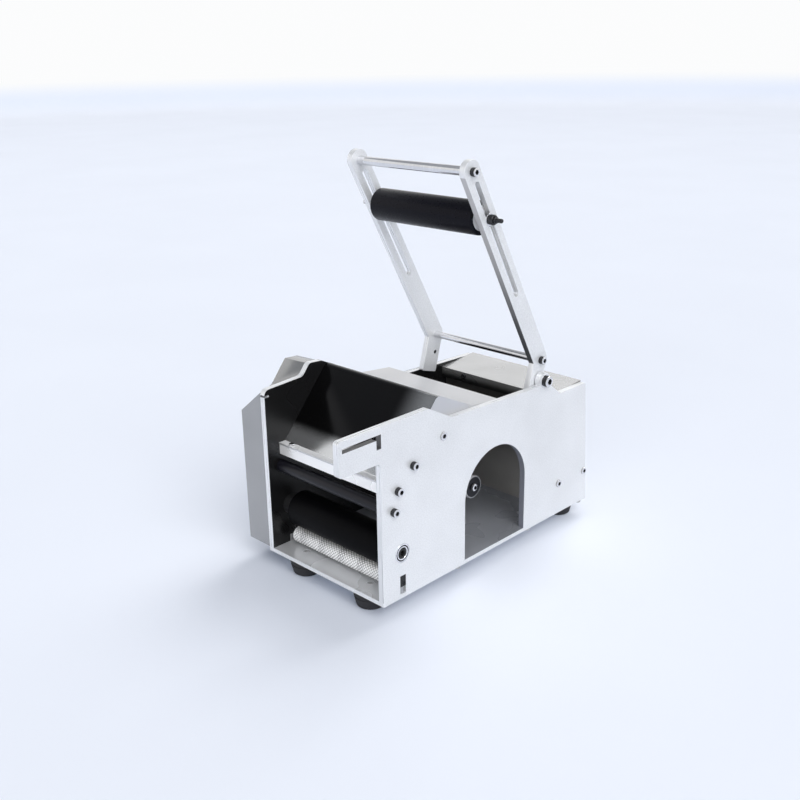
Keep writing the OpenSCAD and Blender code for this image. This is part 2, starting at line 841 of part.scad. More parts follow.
// Panel that closes the back
module rear_panel() {
    edge = [[body_depth - seat_fit, 0], [back_at(lid_back_z) - seat_fit, lid_back_z]];
    from_front() color("lightgray") difference() {
        across(chute_x0, chute_x1)
            polygon([edge[0], edge[1], edge[1] - [panel_t, 0], edge[0] - [panel_t, 0]]);
        above_lid();
        wall_ends(low_points[2]);
    }
}

// Upper face of the rear cover, from the lower edge of its lip to the back
lid_path = [[lip_u, lid_z - lip_h], [lip_u, lid_z], [back_at(back_h), lid_back_z]];

// Sheet over the rear housing with a folded front lip
module rear_top_cover() {
    from_front() color("silver") difference() {
        across(chute_x0, chute_x1) polygon(sheet(lid_path, lid_t));
        at_lip_screws(lip_u) screw_hole(pin_screw_d, lid_t + eps);
    }
}

// Screws of the rear cover's lip and the sleeves that hold it off the inner wall
module lid_screws() {
    from_front() color("dimgray") at_lip_screws(lip_u) {
        screw(pin_screw_d, pin_head_d, low_head_h, lid_t + lip_gap + wall_t - 2);
        translate([0, 0, -lid_t - lip_gap]) ring(sleeve_d, pin_screw_d + 2 * seat_fit, lip_gap);
    }
}

// Ball bearings of the drive roller, pressed into the plates
module drive_bearings() {
    from_front() color("silver") for (side = [-1, 1])
        facing(plate_face(side), [feed_u, drive_z], side)
            translate([0, 0, -plate_t]) ring(bearing_d, drive_journal_d + 2 * run_fit, plate_t);
}

// Steel shaft of the drive roller with a hexagonal socket in its right end
module drive_shaft() {
    core_x0 = left_in + end_gap;
    core_x1 = right_in - end_gap;
    at = [feed_u, drive_z];
    from_front() color("gray") difference() {
        union() {
            bar(core_x0, core_x1, at, drive_core_d);
            bar(gear_x - gear_gap, right_out, at, drive_journal_d);
        }
        facing(right_out, at, 1)
            translate([0, 0, -socket_depth]) cylinder(d = socket_af / cos(30), h = socket_depth + 1, $fn = 6);
    }
}

// Rubber sleeve of the drive roller
module drive_rubber() {
    x0 = left_in + drive_rubber_inset;
    x1 = right_in - drive_rubber_end;
    from_front() color("black") facing(x0, [feed_u, drive_z], 1)
        ring(drive_d, drive_core_d + 2 * seat_fit, x1 - x0);
}

// Gear on the drive shaft, with a tooth pointing down at the pinch gear
module drive_gear() {
    from_front() color("goldenrod") difference() {
        translate([0, feed_u, drive_z]) across(gear_x, gear_x + gear_w)
            polygon(gear_outline(drive_teeth, -90));
        bar(gear_x - 1, gear_x + gear_w + 1, [feed_u, drive_z], drive_journal_d + 2 * seat_fit);
    }
}

// Knurled pinch roller turned in one piece with its journals
module pinch_roller() {
    at = [feed_u, pinch_z];
    from_front() color("white") union() {
        bar(left_in + pinch_inset, right_in - pinch_end, at, pinch_d);
        bar(gear_x - gear_gap, right_out - journal_recess, at, pinch_journal_d);
    }
}

// Gear on the pinch roller, with a gap pointing up at the drive gear
module pinch_gear() {
    from_front() color("goldenrod") difference() {
        translate([0, feed_u, pinch_z]) across(gear_x, gear_x + gear_w)
            polygon(gear_outline(pinch_teeth, 90 + 180 / pinch_teeth));
        bar(gear_x - 1, gear_x + gear_w + 1, [feed_u, pinch_z], pinch_journal_d + 2 * seat_fit);
    }
}

// Slide blocks that carry the pinch roller in the plates' slots
module pinch_blocks() {
    block = [plate_t, pinch_slot_w - 2 * seat_fit, pinch_slot_h - block_low - 2 * seat_fit];
    from_front() color("black") for (side = [-1, 1])
        difference() {
            translate([plate_face(side) - side * plate_t / 2, feed_u, (block_low + pinch_slot_h) / 2])
                cube(block, center = true);
            bar(
                plate_face(side) - plate_t - 1, plate_face(side) + plate_t + 1,
                [feed_u, pinch_z], pinch_journal_d + 2 * run_fit
            );
        }
}

// Set screws that press the blocks up against the drive roller
module pinch_set_screws() {
    from_front() color("gray") for (side = [-1, 1])
        translate([plate_face(side) - side * plate_t / 2, feed_u, -base_t])
            cylinder(d = set_screw_d, h = base_t + block_low);
}

// Fixed axle of the guide roller
module guide_axle() {
    at = [guide_u, guide_z];
    from_front() color("silver") difference() {
        bar(left_in, right_in, at, guide_axle_d);
        facing(right_in, at, 1) screw_hole(bolt_d, screw_depth);
        facing(left_in, at, -1) screw_hole(bolt_d, screw_depth);
    }
}

// Guide roller, a tube that turns on its axle
module guide_roller() {
    x0 = left_in + guide_end;
    x1 = right_in - guide_end;
    from_front() color("black") facing(x0, [guide_u, guide_z], 1)
        ring(guide_d, guide_axle_d + 2 * run_fit, x1 - x0);
}

// Flanged bush of the label spindle in the left plate
module spindle_bush() {
    body_d = spindle_shaft_d + 2 * bush_wall;
    from_front() color("goldenrod") facing(left_out, spindle_at, 1) difference() {
        union() {
            cylinder(d = body_d, h = plate_t);
            translate([0, 0, plate_t]) cylinder(d = body_d + 2 * bush_flange, h = bush_flange_t);
        }
        translate([0, 0, -1])
            cylinder(d = spindle_shaft_d + 2 * run_fit, h = plate_t + bush_flange_t + 2);
    }
}

// Shaft of the label spindle
module spindle_shaft() {
    from_front() color("gray") difference() {
        bar(left_out - shaft_tail, spindle_x1, spindle_at, spindle_shaft_d);
        facing(spindle_x1, spindle_at, 1) screw_hole(bolt_d, screw_depth);
    }
}

// Black core that the label roll is pushed onto
module spindle_core() {
    x0 = left_in + bush_flange_t + end_gap;
    from_front() color("black") facing(x0, spindle_at, 1)
        ring(spindle_d, spindle_shaft_d + 2 * seat_fit, spindle_x1 - x0);
}

// Bright end disc of the spindle
module spindle_disc() {
    from_front() color("silver") facing(spindle_x1, spindle_at, 1)
        ring(spindle_d + 2 * disc_rim, bolt_d + 2 * seat_fit, disc_t);
}

// Screw of the spindle's end disc
module spindle_screw() {
    from_front() color("darkgray") facing(right_out - spindle_end, spindle_at, 1)
        screw(bolt_d, bolt_head_d, bolt_head_h / 2, screw_depth + disc_t - 1);
}

// Collar that keeps the spindle in its bush, inside the drive cover
module spindle_collar() {
    from_front() color("gray") facing(left_out - end_gap, spindle_at, -1)
        ring(spindle_shaft_d + 2 * collar_wall, spindle_shaft_d + 2 * seat_fit, collar_t);
}

// Corner of an arm outline, measured along the arm from the handle bar and to its side
function arm_corner(along, aside, r) =
    let (p = handle_at + along * arm_dir + aside * [arm_dir.y, -arm_dir.x]) [p.x, p.y, r];

// Outline of an arm plate: leg, elbow and the round end at the handle bar
arm_front = [arm_dir.y, -arm_dir.x];
leg_front = [leg_dir.y, -leg_dir.x];
elbow_mitre = arm_w / 2 * (arm_front + leg_front) / (1 + arm_front * leg_front);
leg_end = elbow + leg_len * leg_dir;

// Outline corner at a point with a radius
function rounded(p, r) = [p.x, p.y, r];

arm_corners = [
    rounded(leg_end + arm_w / 2 * leg_front, leg_corner),
    rounded(elbow + elbow_mitre, 0),
    arm_corner(-arm_w / 2, arm_w / 2, near_round * arm_w),
    arm_corner(-arm_w / 2, -arm_w / 2, near_round * arm_w),
    rounded(elbow - elbow_mitre, arm_w / 2),
    rounded(leg_end - arm_w / 2 * leg_front, leg_corner)
];

// Outline of the slot that the press roller's axle slides in
slot_start = slot_near - arm_slot_w / 2;
slot_stop = slot_near + slot_len + arm_slot_w / 2;
slot_corners = [
    arm_corner(slot_start, arm_slot_w / 2, near_round * arm_slot_w),
    arm_corner(slot_start, -arm_slot_w / 2, near_round * arm_slot_w),
    arm_corner(slot_stop, -arm_slot_w / 2, near_round * arm_slot_w),
    arm_corner(slot_stop, arm_slot_w / 2, near_round * arm_slot_w)
];

// Arm plate of one side with its dog leg, slot and holes, from x0 to x1
module arm_plate(x0, x1, side) {
    difference() {
        across(x0, x1) polygon(outline(arm_corners));
        across(x0 - 1, x1 + 1) polygon(outline(slot_corners));
        for (at = [handle_at, elbow]) bar(x0 - 1, x1 + 1, at, bolt_d + 2 * seat_fit);
        bar(x0 - 1, x1 + 1, [pivot_u, pivot_z], pivot_dia(side) + 2 * seat_fit);
    }
}

// Arm plate beside the left plate
module arm_left_plate() {
    from_front() color("gainsboro") arm_plate(arm_left_out, arm_left_in, -1);
}

// Arm plate beside the right plate
module arm_right_plate() {
    from_front() color("gainsboro") arm_plate(arm_right_in, arm_right_out, 1);
}

// Bar between the arm plates, tapped at both ends
module arm_bar(at, d) {
    difference() {
        bar(arm_left_in, arm_right_in, at, d);
        facing(arm_right_in, at, 1) screw_hole(bolt_d, screw_depth);
        facing(arm_left_in, at, -1) screw_hole(bolt_d, screw_depth);
    }
}

// Handle bar at the top of the arm
module handle_bar() {
    from_front() color("silver") arm_bar(handle_at, handle_d);
}

// Cross bar at the elbows
module cross_bar() {
    from_front() color("silver") arm_bar(elbow, cross_d);
}

// Cap screws of the handle bar and the cross bar
module arm_bolts() {
    from_front() color("dimgray") for (side = [-1, 1])
        for (at = [handle_at, elbow])
            facing(arm_face(side), at, side) screw(bolt_d, bolt_head_d, bolt_head_h, arm_t + screw_depth - 1);
}

// Shoulder bolt on the right and flush pin on the left that the arm swings on
module pivot_bolts() {
    at = [pivot_u, pivot_z];
    from_front() color("dimgray") {
        facing(right_out + washer_t + seat_fit, at, 1)
            screw(pivot_d, pivot_head_d, pivot_head_h, plate_t + arm_gap + arm_t + washer_t);
        bar(left_out, arm_left_in, at, pin_d);
    }
}

// Washer around the pivot of one side
module pivot_washer(side) {
    d = pivot_dia(side);
    ring(d + 2 * washer_rim, d + 2 * seat_fit, washer_t);
}

// Washers inside both ears and under the bolt's head
module pivot_washers() {
    at = [pivot_u, pivot_z];
    from_front() color("silver") {
        facing(right_out + seat_fit, at, 1) pivot_washer(1);
        for (side = [-1, 1]) facing(arm_face(side), at, side) pivot_washer(side);
    }
}

// Axle of the press roller through both slots, with a threaded stud at each end
module press_axle() {
    from_front() color("silver") {
        bar(arm_left_out, arm_right_out, press_pos, press_axle_d);
        bar(arm_left_out - axle_stud, arm_right_out + axle_stud, press_pos, stud_d);
    }
}

// Spacers between the press roller and the arm plates
module press_spacers() {
    from_front() color("silver") for (side = [-1, 1])
        facing(side > 0 ? arm_right_in - press_end_gap : arm_left_in + press_end_gap, press_pos, side)
            ring(bush_d - 2, press_axle_d + 2 * seat_fit, press_end_gap - seat_fit);
}

// Aluminium core tube of the press roller
module press_core() {
    core_d = press_d - 2 * press_rubber_t - 2 * seat_fit;
    from_front() color("silver") facing(press_end(-1), press_pos, 1)
        ring(core_d, bush_d + 2 * seat_fit, press_end(1) - press_end(-1));
}

// Rubber sleeve of the press roller
module press_rubber() {
    from_front() color("black") facing(press_end(-1), press_pos, 1)
        ring(press_d, press_d - 2 * press_rubber_t, press_end(1) - press_end(-1));
}

// Bushes at both ends of the core tube
module press_bushes() {
    from_front() color("goldenrod") for (side = [-1, 1])
        facing(press_end(side), press_pos, side)
            translate([0, 0, -bush_len]) ring(bush_d, press_axle_d + 2 * run_fit, bush_len);
}

// Washers under the clamp nuts
module clamp_washers() {
    from_front() color("silver") for (side = [-1, 1])
        facing(arm_face(side) + side * seat_fit, press_pos, side)
            ring(clamp_d + 2, stud_d + 2 * seat_fit, washer_t);
}

// Clamp nut on one end of the press roller's axle
module clamp_nut(side) {
    facing(arm_face(side) + side * (washer_t + 2 * seat_fit), press_pos, side) difference() {
        union() {
            cylinder(d = clamp_d, h = clamp_h);
            translate([0, 0, clamp_h]) cylinder(d = clamp_d - 2 * clamp_step, h = clamp_step_h);
        }
        translate([0, 0, -1]) cylinder(d = stud_d + 2 * run_fit, h = clamp_h + clamp_step_h + 2);
    }
}

// Clamp nut on the right arm plate
module clamp_nut_right() {
    from_front() color("dimgray") clamp_nut(1);
}

// Clamp nut on the left arm plate
module clamp_nut_left() {
    from_front() color("dimgray") clamp_nut(-1);
}

base_plate();
right_side_plate();
left_side_plate();
drive_cover();
cover_posts();
cover_screws();
rubber_feet();
foot_screws();
base_screws();
label_chute();
peel_bar();
peel_screws();
chute_tie_rod();
ridge_tie_rod();
plate_bolts();
wall_screws();
inner_back_wall();
rear_panel();
rear_top_cover();
lid_screws();
drive_bearings();
drive_shaft();
drive_rubber();
drive_gear();
pinch_roller();
pinch_gear();
pinch_blocks();
pinch_set_screws();
guide_axle();
guide_roller();
spindle_bush();
spindle_shaft();
spindle_core();
spindle_disc();
spindle_screw();
spindle_collar();
arm_left_plate();
arm_right_plate();
handle_bar();
cross_bar();
arm_bolts();
pivot_bolts();
pivot_washers();
press_axle();
press_spacers();
press_core();
press_rubber();
press_bushes();
clamp_washers();
clamp_nut_right();
clamp_nut_left();
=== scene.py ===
"""Looks of a desk-top bottle labelling machine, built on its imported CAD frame.

Turned pieces, screws, feet and the knurled roller are surfaces worked out with numpy.
Plates, folded sheets, gears and blocks are merged copies of their CAD solids with rounded edges.
All lengths are metres in the CAD frame: +X to the plate with the arch, -Y to the front, +Z up.
"""

import json
import logging
import math
from dataclasses import dataclass
from enum import Enum
from functools import reduce
from typing import Callable, Sequence

import bmesh
import bpy
import numpy as np
from mathutils import Matrix, Vector

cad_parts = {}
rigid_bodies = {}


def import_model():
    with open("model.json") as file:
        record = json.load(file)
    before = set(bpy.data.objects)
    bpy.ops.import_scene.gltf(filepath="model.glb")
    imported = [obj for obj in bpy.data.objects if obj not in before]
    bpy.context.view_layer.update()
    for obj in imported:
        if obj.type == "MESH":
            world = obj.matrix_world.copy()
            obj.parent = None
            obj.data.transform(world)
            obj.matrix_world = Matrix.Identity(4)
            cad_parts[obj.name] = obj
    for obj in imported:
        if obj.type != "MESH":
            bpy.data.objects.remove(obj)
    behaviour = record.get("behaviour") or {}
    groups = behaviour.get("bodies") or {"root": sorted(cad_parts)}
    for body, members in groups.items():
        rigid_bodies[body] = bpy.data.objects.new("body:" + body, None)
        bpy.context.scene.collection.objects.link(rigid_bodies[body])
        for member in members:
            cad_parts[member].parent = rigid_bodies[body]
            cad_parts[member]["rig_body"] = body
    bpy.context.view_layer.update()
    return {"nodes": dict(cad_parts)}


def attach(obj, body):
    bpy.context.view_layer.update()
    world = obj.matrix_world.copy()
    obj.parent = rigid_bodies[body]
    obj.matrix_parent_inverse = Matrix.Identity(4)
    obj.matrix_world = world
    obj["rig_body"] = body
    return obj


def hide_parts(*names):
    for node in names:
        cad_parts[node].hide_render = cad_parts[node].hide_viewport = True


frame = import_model()

LOG = logging.getLogger("labelling_machine")
MM = 0.001
TURN = 2 * math.pi
X_AXIS = (1.0, 0.0, 0.0)
Y_AXIS = (0.0, 1.0, 0.0)
Z_AXIS = (0.0, 0.0, 1.0)
# Values between which the noise of a grain mostly lies
NOISE_LOW = 0.3
NOISE_HIGH = 0.7
# Finer layers in the broad noise, and cells of the noise in the shine for each cell of the grain
BROAD_DETAIL = 2.0
SHINE_CELLS = 0.6
# Share of a direction over which it counts as lying along an axis, and under which across it
ALONG = 0.9
ACROSS = 0.1
# Distance within which points count as lying in one plane
NEAR = 0.05 * MM
# Decimals at which points of a solid are merged, and at which the middles of solids are put in order
POINT_DIGITS = 7
ORDER_DIGITS = 4
# Share of the largest radius or area over which another counts as equal to it
WIDE = 0.9
# Length over which a solid among screws is a screw, and under which a nut or sleeve
SHORTEST_SCREW = 6 * MM
# Points round a hexagonal nut
NUT_COLUMNS = 72
# Ends along Y and Z of the hooked slot in the nose of the right plate, whose walls get painted shade
NOSE_SLOT_Y = (-0.171, -0.1255)
NOSE_SLOT_Z = (0.162, 0.178)
# Ends along Y and Z of the arch in the right plate, whose walls get painted shade
ARCH_Y = (-0.023, 0.069)
ARCH_Z = (0.021, 0.13)
# Height under which a level face of the chute belongs to its front lip, and over which to its ridge, which
# shares the slope's painted reflection
LIP_TOP = 0.13
RIDGE_FOOT = 0.18

Colour = tuple[float, float, float]
BLACK: Colour = (0.0, 0.0, 0.0)
Socket = bpy.types.NodeSocket
Inputs = dict[str | int, Socket | float | Sequence[float]]
Pick = Callable[["Faces"], np.ndarray]


class Pattern(Enum):
    """Ways in which a surface was worked, each with its own grain."""

    BLASTED = "blasted"
    TURNED = "turned"
    POLISHED = "polished"
    RUBBER = "rubber"
    MOULDED = "moulded"


class HeadStyle(Enum):
    """Kinds of screw head."""

    CAP = "cap"
    LOW = "low"


@dataclass(frozen=True)
class Grain:
    """Grain of a pattern: cells per metre along each axis, finer layers, depth and share of the relief."""

    cells: tuple[float, float, float]
    detail: float
    relief: float
    strength: float


GRAINS: dict[Pattern, Grain] = {
    Pattern.BLASTED: Grain((900.0, 900.0, 900.0), 3.0, 0.00004, 0.35),
    Pattern.TURNED: Grain((1600.0, 30.0, 30.0), 2.0, 0.00001, 0.05),
    Pattern.POLISHED: Grain((26.0, 26.0, 26.0), 2.0, 0.0004, 0.06),
    Pattern.RUBBER: Grain((1100.0, 1100.0, 1100.0), 3.0, 0.00005, 0.25),
    Pattern.MOULDED: Grain((700.0, 700.0, 700.0), 2.0, 0.00005, 0.2),
}


class Recipe:
    """Node tree of one material, built round its main shader."""

    def __init__(self, name: str) -> None:
        """Start an empty material with a main shader.

        Args:
            name: Name of the new material.
        """
        self.material = bpy.data.materials.new(name)
        self.material.use_nodes = True
        self.tree = self.material.node_tree
        self.shader = self.tree.nodes["Principled BSDF"]
        self.place = self.node("TexCoord").outputs["Object"]

    def node(self, kind: str, inputs: Inputs | None = None, **settings: str) -> bpy.types.Node:
        """New node of the material.

        Args:
            kind: Kind of node, without the first word that all kinds share.
            inputs: Values and links of its inputs.
            settings: Its other settings by name.

        Returns:
            The node.
        """
        made = self.tree.nodes.new(f"ShaderNode{kind}")
        for name, value in settings.items():
            setattr(made, name, value)
        self.feed(made, inputs or {})
        return made

    def feed(self, node: bpy.types.Node, inputs: Inputs) -> None:
        """Link each input of a node that is given a socket, and set each that is given a value.

        Args:
            node: The node.
            inputs: Sockets and values by the name or number of the input.
        """
        for name, value in inputs.items():
            if isinstance(value, Socket):
                self.tree.links.new(value, node.inputs[name])
            else:
                node.inputs[name].default_value = value

    def noise(self, scale: Sequence[float], detail: float) -> Socket:
        """Soft noise from 0 to 1, by its cells per metre along X, Y and Z and its finer layers."""
        cells = self.node("Mapping", {"Vector": self.place, "Scale": scale}).outputs["Vector"]
        return self.node("TexNoise", {"Vector": cells, "Scale": 1.0, "Detail": detail}).outputs["Fac"]

    def spread(self, value: Socket, low: float, high: float) -> Socket:
        """Noise brought to a range: its usual low gives the low end and its usual high the high end."""
        ends = {"From Min": NOISE_LOW, "From Max": NOISE_HIGH, "To Min": low, "To Max": high}
        return self.node("MapRange", {"Value": value, **ends}).outputs["Result"]

    def product(self, a: Socket, b: Socket) -> Socket:
        """Product of two values."""
        return self.node("Math", {0: a, 1: b}, operation="MULTIPLY").outputs[0]

    def larger(self, a: Socket, b: Socket) -> Socket:
        """Larger of two values."""
        return self.node("Math", {0: a, 1: b}, operation="MAXIMUM").outputs[0]

    def step(self, fade: "Fade") -> Socket:
        """Smooth step along one axis, from 0 to the fade's share.

        Args:
            fade: Axis, ends and share of the step.

        Returns:
            The step's value.
        """
        split = self.node("SeparateXYZ", {"Vector": self.place})
        ends = {"From Min": fade.start, "From Max": fade.full, "To Max": fade.share}
        inputs = {"Value": split.outputs[fade.axis], **ends}
        return self.node("MapRange", inputs, interpolation_type="SMOOTHSTEP").outputs["Result"]

    def blend(self, share: Socket, first: Colour, second: Colour) -> Socket:
        """Colour between two colours.

        Args:
            share: 0 for the first colour, 1 for the second.
            first: First colour.
            second: Second colour.

        Returns:
            The blended colour.
        """
        ramp = self.node("ValToRGB", {"Fac": share})
        for element, colour in zip(ramp.color_ramp.elements, (first, second)):
            element.color = (*colour, 1.0)
        return ramp.outputs["Color"]

    def tint(self, colour: Colour | Socket, share: Socket) -> None:
        """Paint the shader with a plain or changing colour, times a share near 1."""
        scaled = self.node("VectorMath", {0: colour, "Scale": share}, operation="SCALE")
        self.feed(self.shader, {"Base Color": scaled.outputs["Vector"]})

    def relief(self, height: Socket, strength: float, distance: float) -> None:
        """Let a height from 0 to 1 bend the normal, by a share of the relief's depth in metres."""
        bump = self.node("Bump", {"Height": height, "Strength": strength, "Distance": distance})
        self.feed(self.shader, {"Normal": bump.outputs["Normal"]})


@dataclass(frozen=True)
class Fade:
    """Stretch along an axis, in metres, over which a finish takes on a share of its second colour."""

    axis: str
    start: float
    full: float
    share: float = 1.0


@dataclass(frozen=True)
class Finish:
    """One surface finish: colour, shine and the grain that its working left."""

    name: str
    slot: str
    colour: Colour
    pattern: Pattern
    metallic: float
    rough: tuple[float, float]
    swing: float = 0.05
    blotch: float = 0.04
    blotch_cells: float = 18.0
    specular: float = 0.5
    # Second colour and the fades towards it paint light and shade onto the surface
    second: Colour = BLACK
    fades: tuple[Fade, ...] = ()

    def material(self) -> bpy.types.Material:
        """Material of this finish, made once and then shared."""
        known = bpy.data.materials.get(self.name)
        return known if known else self._cook()

    def _cook(self) -> bpy.types.Material:
        """Build the node tree: fine grain in colour, shine and relief, with broad blotches over it, and
        painted light and shade along its fades.

        Returns:
            The new material.
        """
        recipe = Recipe(self.name)
        grain = GRAINS[self.pattern]
        fine = recipe.noise(grain.cells, grain.detail)
        broad = recipe.noise((self.blotch_cells,) * 3, BROAD_DETAIL)
        share = recipe.product(
            recipe.spread(fine, 1 - self.swing, 1 + self.swing),
            recipe.spread(broad, 1 - self.blotch, 1 + self.blotch),
        )
        colour = self.colour
        # Painted light and shade: fade towards the second colour
        if self.fades:
            steps = [recipe.step(fade) for fade in self.fades]
            colour = recipe.blend(reduce(recipe.larger, steps), self.colour, self.second)
        recipe.tint(colour, share)
        recipe.relief(fine, grain.strength, grain.relief)
        shine = recipe.noise(tuple(SHINE_CELLS * c for c in grain.cells), grain.detail)
        look = {"Metallic": self.metallic, "Specular IOR Level": self.specular}
        recipe.feed(recipe.shader, {"Roughness": recipe.spread(shine, *self.rough), **look})
        return recipe.material


PLATE = Finish(
    "blasted_plate", "plate_aluminium", (0.78, 0.795, 0.82), Pattern.BLASTED, 0.35, (0.36, 0.52), swing=0.07,
)
EDGE = Finish("milled_edge", "plate_aluminium", (0.8, 0.81, 0.83), Pattern.TURNED, 0.6, (0.25, 0.4))
# Painted shade: the arm's long edge that looks down to the front is painted dark, lighter higher up
PAINTED_SHADE_EDGE = Finish(
    "edge_painted_shade", "plate_aluminium", (0.09, 0.092, 0.1), Pattern.TURNED, 0.3, (0.3, 0.45),
    second=(0.5, 0.5, 0.52), fades=(Fade("Z", 0.2, 0.34),),
)
WHITE = Finish("white_bar", "plate_aluminium", (0.97, 0.97, 0.97), Pattern.POLISHED, 0.5, (0.25, 0.35), 0.02)
# Painted shade: the deck is painted darker towards the back, inside the machine
DECK = Finish(
    "base_deck_painted_shade", "polished_sheet", (0.71, 0.72, 0.74), Pattern.POLISHED, 0.4, (0.22, 0.32), 0.02,
    second=(0.33, 0.345, 0.38), fades=(Fade("Y", -0.09, -0.06),),
)
# Painted shade on the walls of the hooked slot in the right plate's nose
SLOT_SHADE = Finish("slot_painted_shade", "plate_aluminium", (0.12, 0.12, 0.125), Pattern.TURNED, 0.2, (0.35, 0.5))
# Painted shade on the walls of the arch in the right plate
ARCH_SHADE = Finish("arch_painted_shade", "plate_aluminium", (0.2, 0.21, 0.25), Pattern.TURNED, 0.3, (0.35, 0.5))
BLACK_FACE = Finish(
    "black_face", "black_plate", (0.007, 0.007, 0.0075), Pattern.POLISHED, 0.0, (0.24, 0.32),
    swing=0.1, specular=0.4,
)
SHEET = Finish("polished_sheet", "polished_sheet", (0.42, 0.42, 0.43), Pattern.POLISHED, 1.0, (0.1, 0.18))
# Painted reflection: the polished slope is painted black where it mirrors the dark surround, and lighter
# towards its lower end and its right side where it mirrors light
SLOPE_REFLECTION = Finish(
    "slope_painted_reflection", "polished_sheet", (0.012, 0.012, 0.013), Pattern.POLISHED, 0.9, (0.12, 0.2),
    second=(0.68, 0.69, 0.7), fades=(Fade("Z", 0.142, 0.132), Fade("X", 0.045, 0.08, 0.5)),
)
FRONT_LIP = Finish("chute_lip", "polished_sheet", (0.78, 0.78, 0.79), Pattern.POLISHED, 0.2, (0.25, 0.35))
LID = Finish("lid_sheet", "polished_sheet", (0.6, 0.6, 0.6), Pattern.POLISHED, 0.7, (0.2, 0.3), 0.02)
# Painted shade: the cover's lip and its other faces that don't look up are painted black, lighter grey at the
# top of the lip, on the same sheet as the lid's top
LID_LIP_SHADE = Finish(
    "lid_lip_painted_shade", "polished_sheet", (0.015, 0.015, 0.015), Pattern.POLISHED, 0.5, (0.25, 0.35),
    second=(0.24, 0.24, 0.235), fades=(Fade("Z", 0.135, 0.144),),
)
COVER = Finish("cover_sheet", "polished_sheet", (0.37, 0.37, 0.37), Pattern.POLISHED, 0.9, (0.16, 0.24), 0.02)
# Bright steel, also used as the painted highlight on screw heads' ends
BRIGHT = Finish("bright_steel_and_painted_highlight", "bright_steel", (0.72, 0.72, 0.74), Pattern.TURNED, 1.0, (0.06, 0.14))
SCREW = Finish("screw_steel", "screw_steel", (0.34, 0.34, 0.35), Pattern.TURNED, 1.0, (0.16, 0.3))
BOLT = Finish("bolt_steel", "screw_steel", (0.04, 0.04, 0.043), Pattern.TURNED, 0.8, (0.15, 0.25))
# Blackened steel, also used as painted shade on the left bearing's races and in screw sockets
DARK = Finish(
    "blackened_steel_and_painted_shade", "dark_steel", (0.012, 0.012, 0.013), Pattern.TURNED, 0.0, (0.3, 0.45), specular=0.3,
)
KNURL = Finish("knurled_roller", "knurled_aluminium", (0.98, 0.98, 0.98), Pattern.POLISHED, 0.3, (0.3, 0.4))
# Painted shade in the knurl's deep cuts, on the roller's own aluminium
VALLEY_SHADE = Finish("knurl_valley_painted_shade", "knurled_aluminium", (0.36, 0.36, 0.37), Pattern.TURNED, 0.2, (0.4, 0.55))
RUBBER = Finish(
    "roller_rubber", "black_rubber", (0.002, 0.002, 0.005), Pattern.RUBBER, 0.0, (0.26, 0.34),
    swing=0.2, specular=0.13,
)
DRIVE_RUBBER = Finish(
    "drive_rubber", "black_rubber", (0.002, 0.002, 0.0025), Pattern.RUBBER, 0.0, (0.4, 0.5),
    swing=0.2, specular=0.05,
)
FOOT = Finish(
    "foot_rubber", "foot_rubber", (0.009, 0.009, 0.01), Pattern.MOULDED, 0.0, (0.5, 0.65),
    swing=0.2, specular=0.3,
)
PLASTIC = Finish(
    "turned_plastic", "black_plastic", (0.004, 0.004, 0.007), Pattern.POLISHED, 0.0, (0.3, 0.36),
    specular=0.3,
)
BRONZE = Finish("bush_bronze", "bronze", (0.55, 0.38, 0.16), Pattern.TURNED, 1.0, (0.25, 0.4))
BRASS = Finish("gear_brass", "gear_brass", (0.65, 0.48, 0.2), Pattern.TURNED, 1.0, (0.25, 0.4))
# Painted shade: the inner back wall is painted near black, lighter grey towards the bottom
BACK_WALL_SHADE = Finish(
    "back_wall_painted_shade", "dark_steel", (0.055, 0.053, 0.05), Pattern.POLISHED, 0.4, (0.3, 0.45),
    second=(0.33, 0.32, 0.31), fades=(Fade("Z", 0.105, 0.045),),
)


@dataclass
class Surface:
    """Points of a surface, its faces, and the number of the finish on each face."""

    points: np.ndarray
    faces: np.ndarray
    finish: np.ndarray

    @classmethod
    def lattice(cls, grid: np.ndarray, closed: bool, row_finish: Sequence[int] | None = None) -> "Surface":
        """Quads between neighbouring points of a grid whose columns close on themselves.

        Args:
            grid: Points as (rows, columns, 3).
            closed: Whether the last row joins the first, as on a tube's wall.
            row_finish: Number of the finish between each row and the next.

        Returns:
            The surface, with its faces pointing outwards.
        """
        rows, columns = grid.shape[:2]
        i = np.arange(rows if closed else rows - 1)[:, None]
        j = np.arange(columns)[None, :]
        below, above = i % rows * columns, (i + 1) % rows * columns
        after = (j + 1) % columns
        quads = np.stack([below + j, below + after, above + after, above + j], axis=-1).reshape(-1, 4)
        number = np.zeros(len(i), int) if row_finish is None else np.asarray(row_finish, int)
        made = cls(grid.reshape(-1, 3), quads, np.repeat(number, columns))
        return made.outward()

    def outward(self) -> "Surface":
        """Turn the faces outwards, by the sign of the volume that they enclose.

        Returns:
            The surface with its faces in that order.
        """
        a, b, c, d = (self.points[self.faces[:, k]] for k in range(4))
        volume = np.einsum("ij,ij->", a, np.cross(b, c)) + np.einsum("ij,ij->", a, np.cross(c, d))
        faces = self.faces if volume > 0 else self.faces[:, ::-1]
        return Surface(self.points, faces, self.finish)

    @staticmethod
    def joined(parts: Sequence["Surface"]) -> "Surface":
        """Join several surfaces.

        Args:
            parts: The surfaces.

        Returns:
            One surface that holds them all.
        """
        starts = np.cumsum([0] + [len(p.points) for p in parts[:-1]])
        return Surface(
            np.concatenate([p.points for p in parts]),
            np.concatenate([p.faces + s for p, s in zip(parts, starts)]),
            np.concatenate([p.finish for p in parts]),
        )


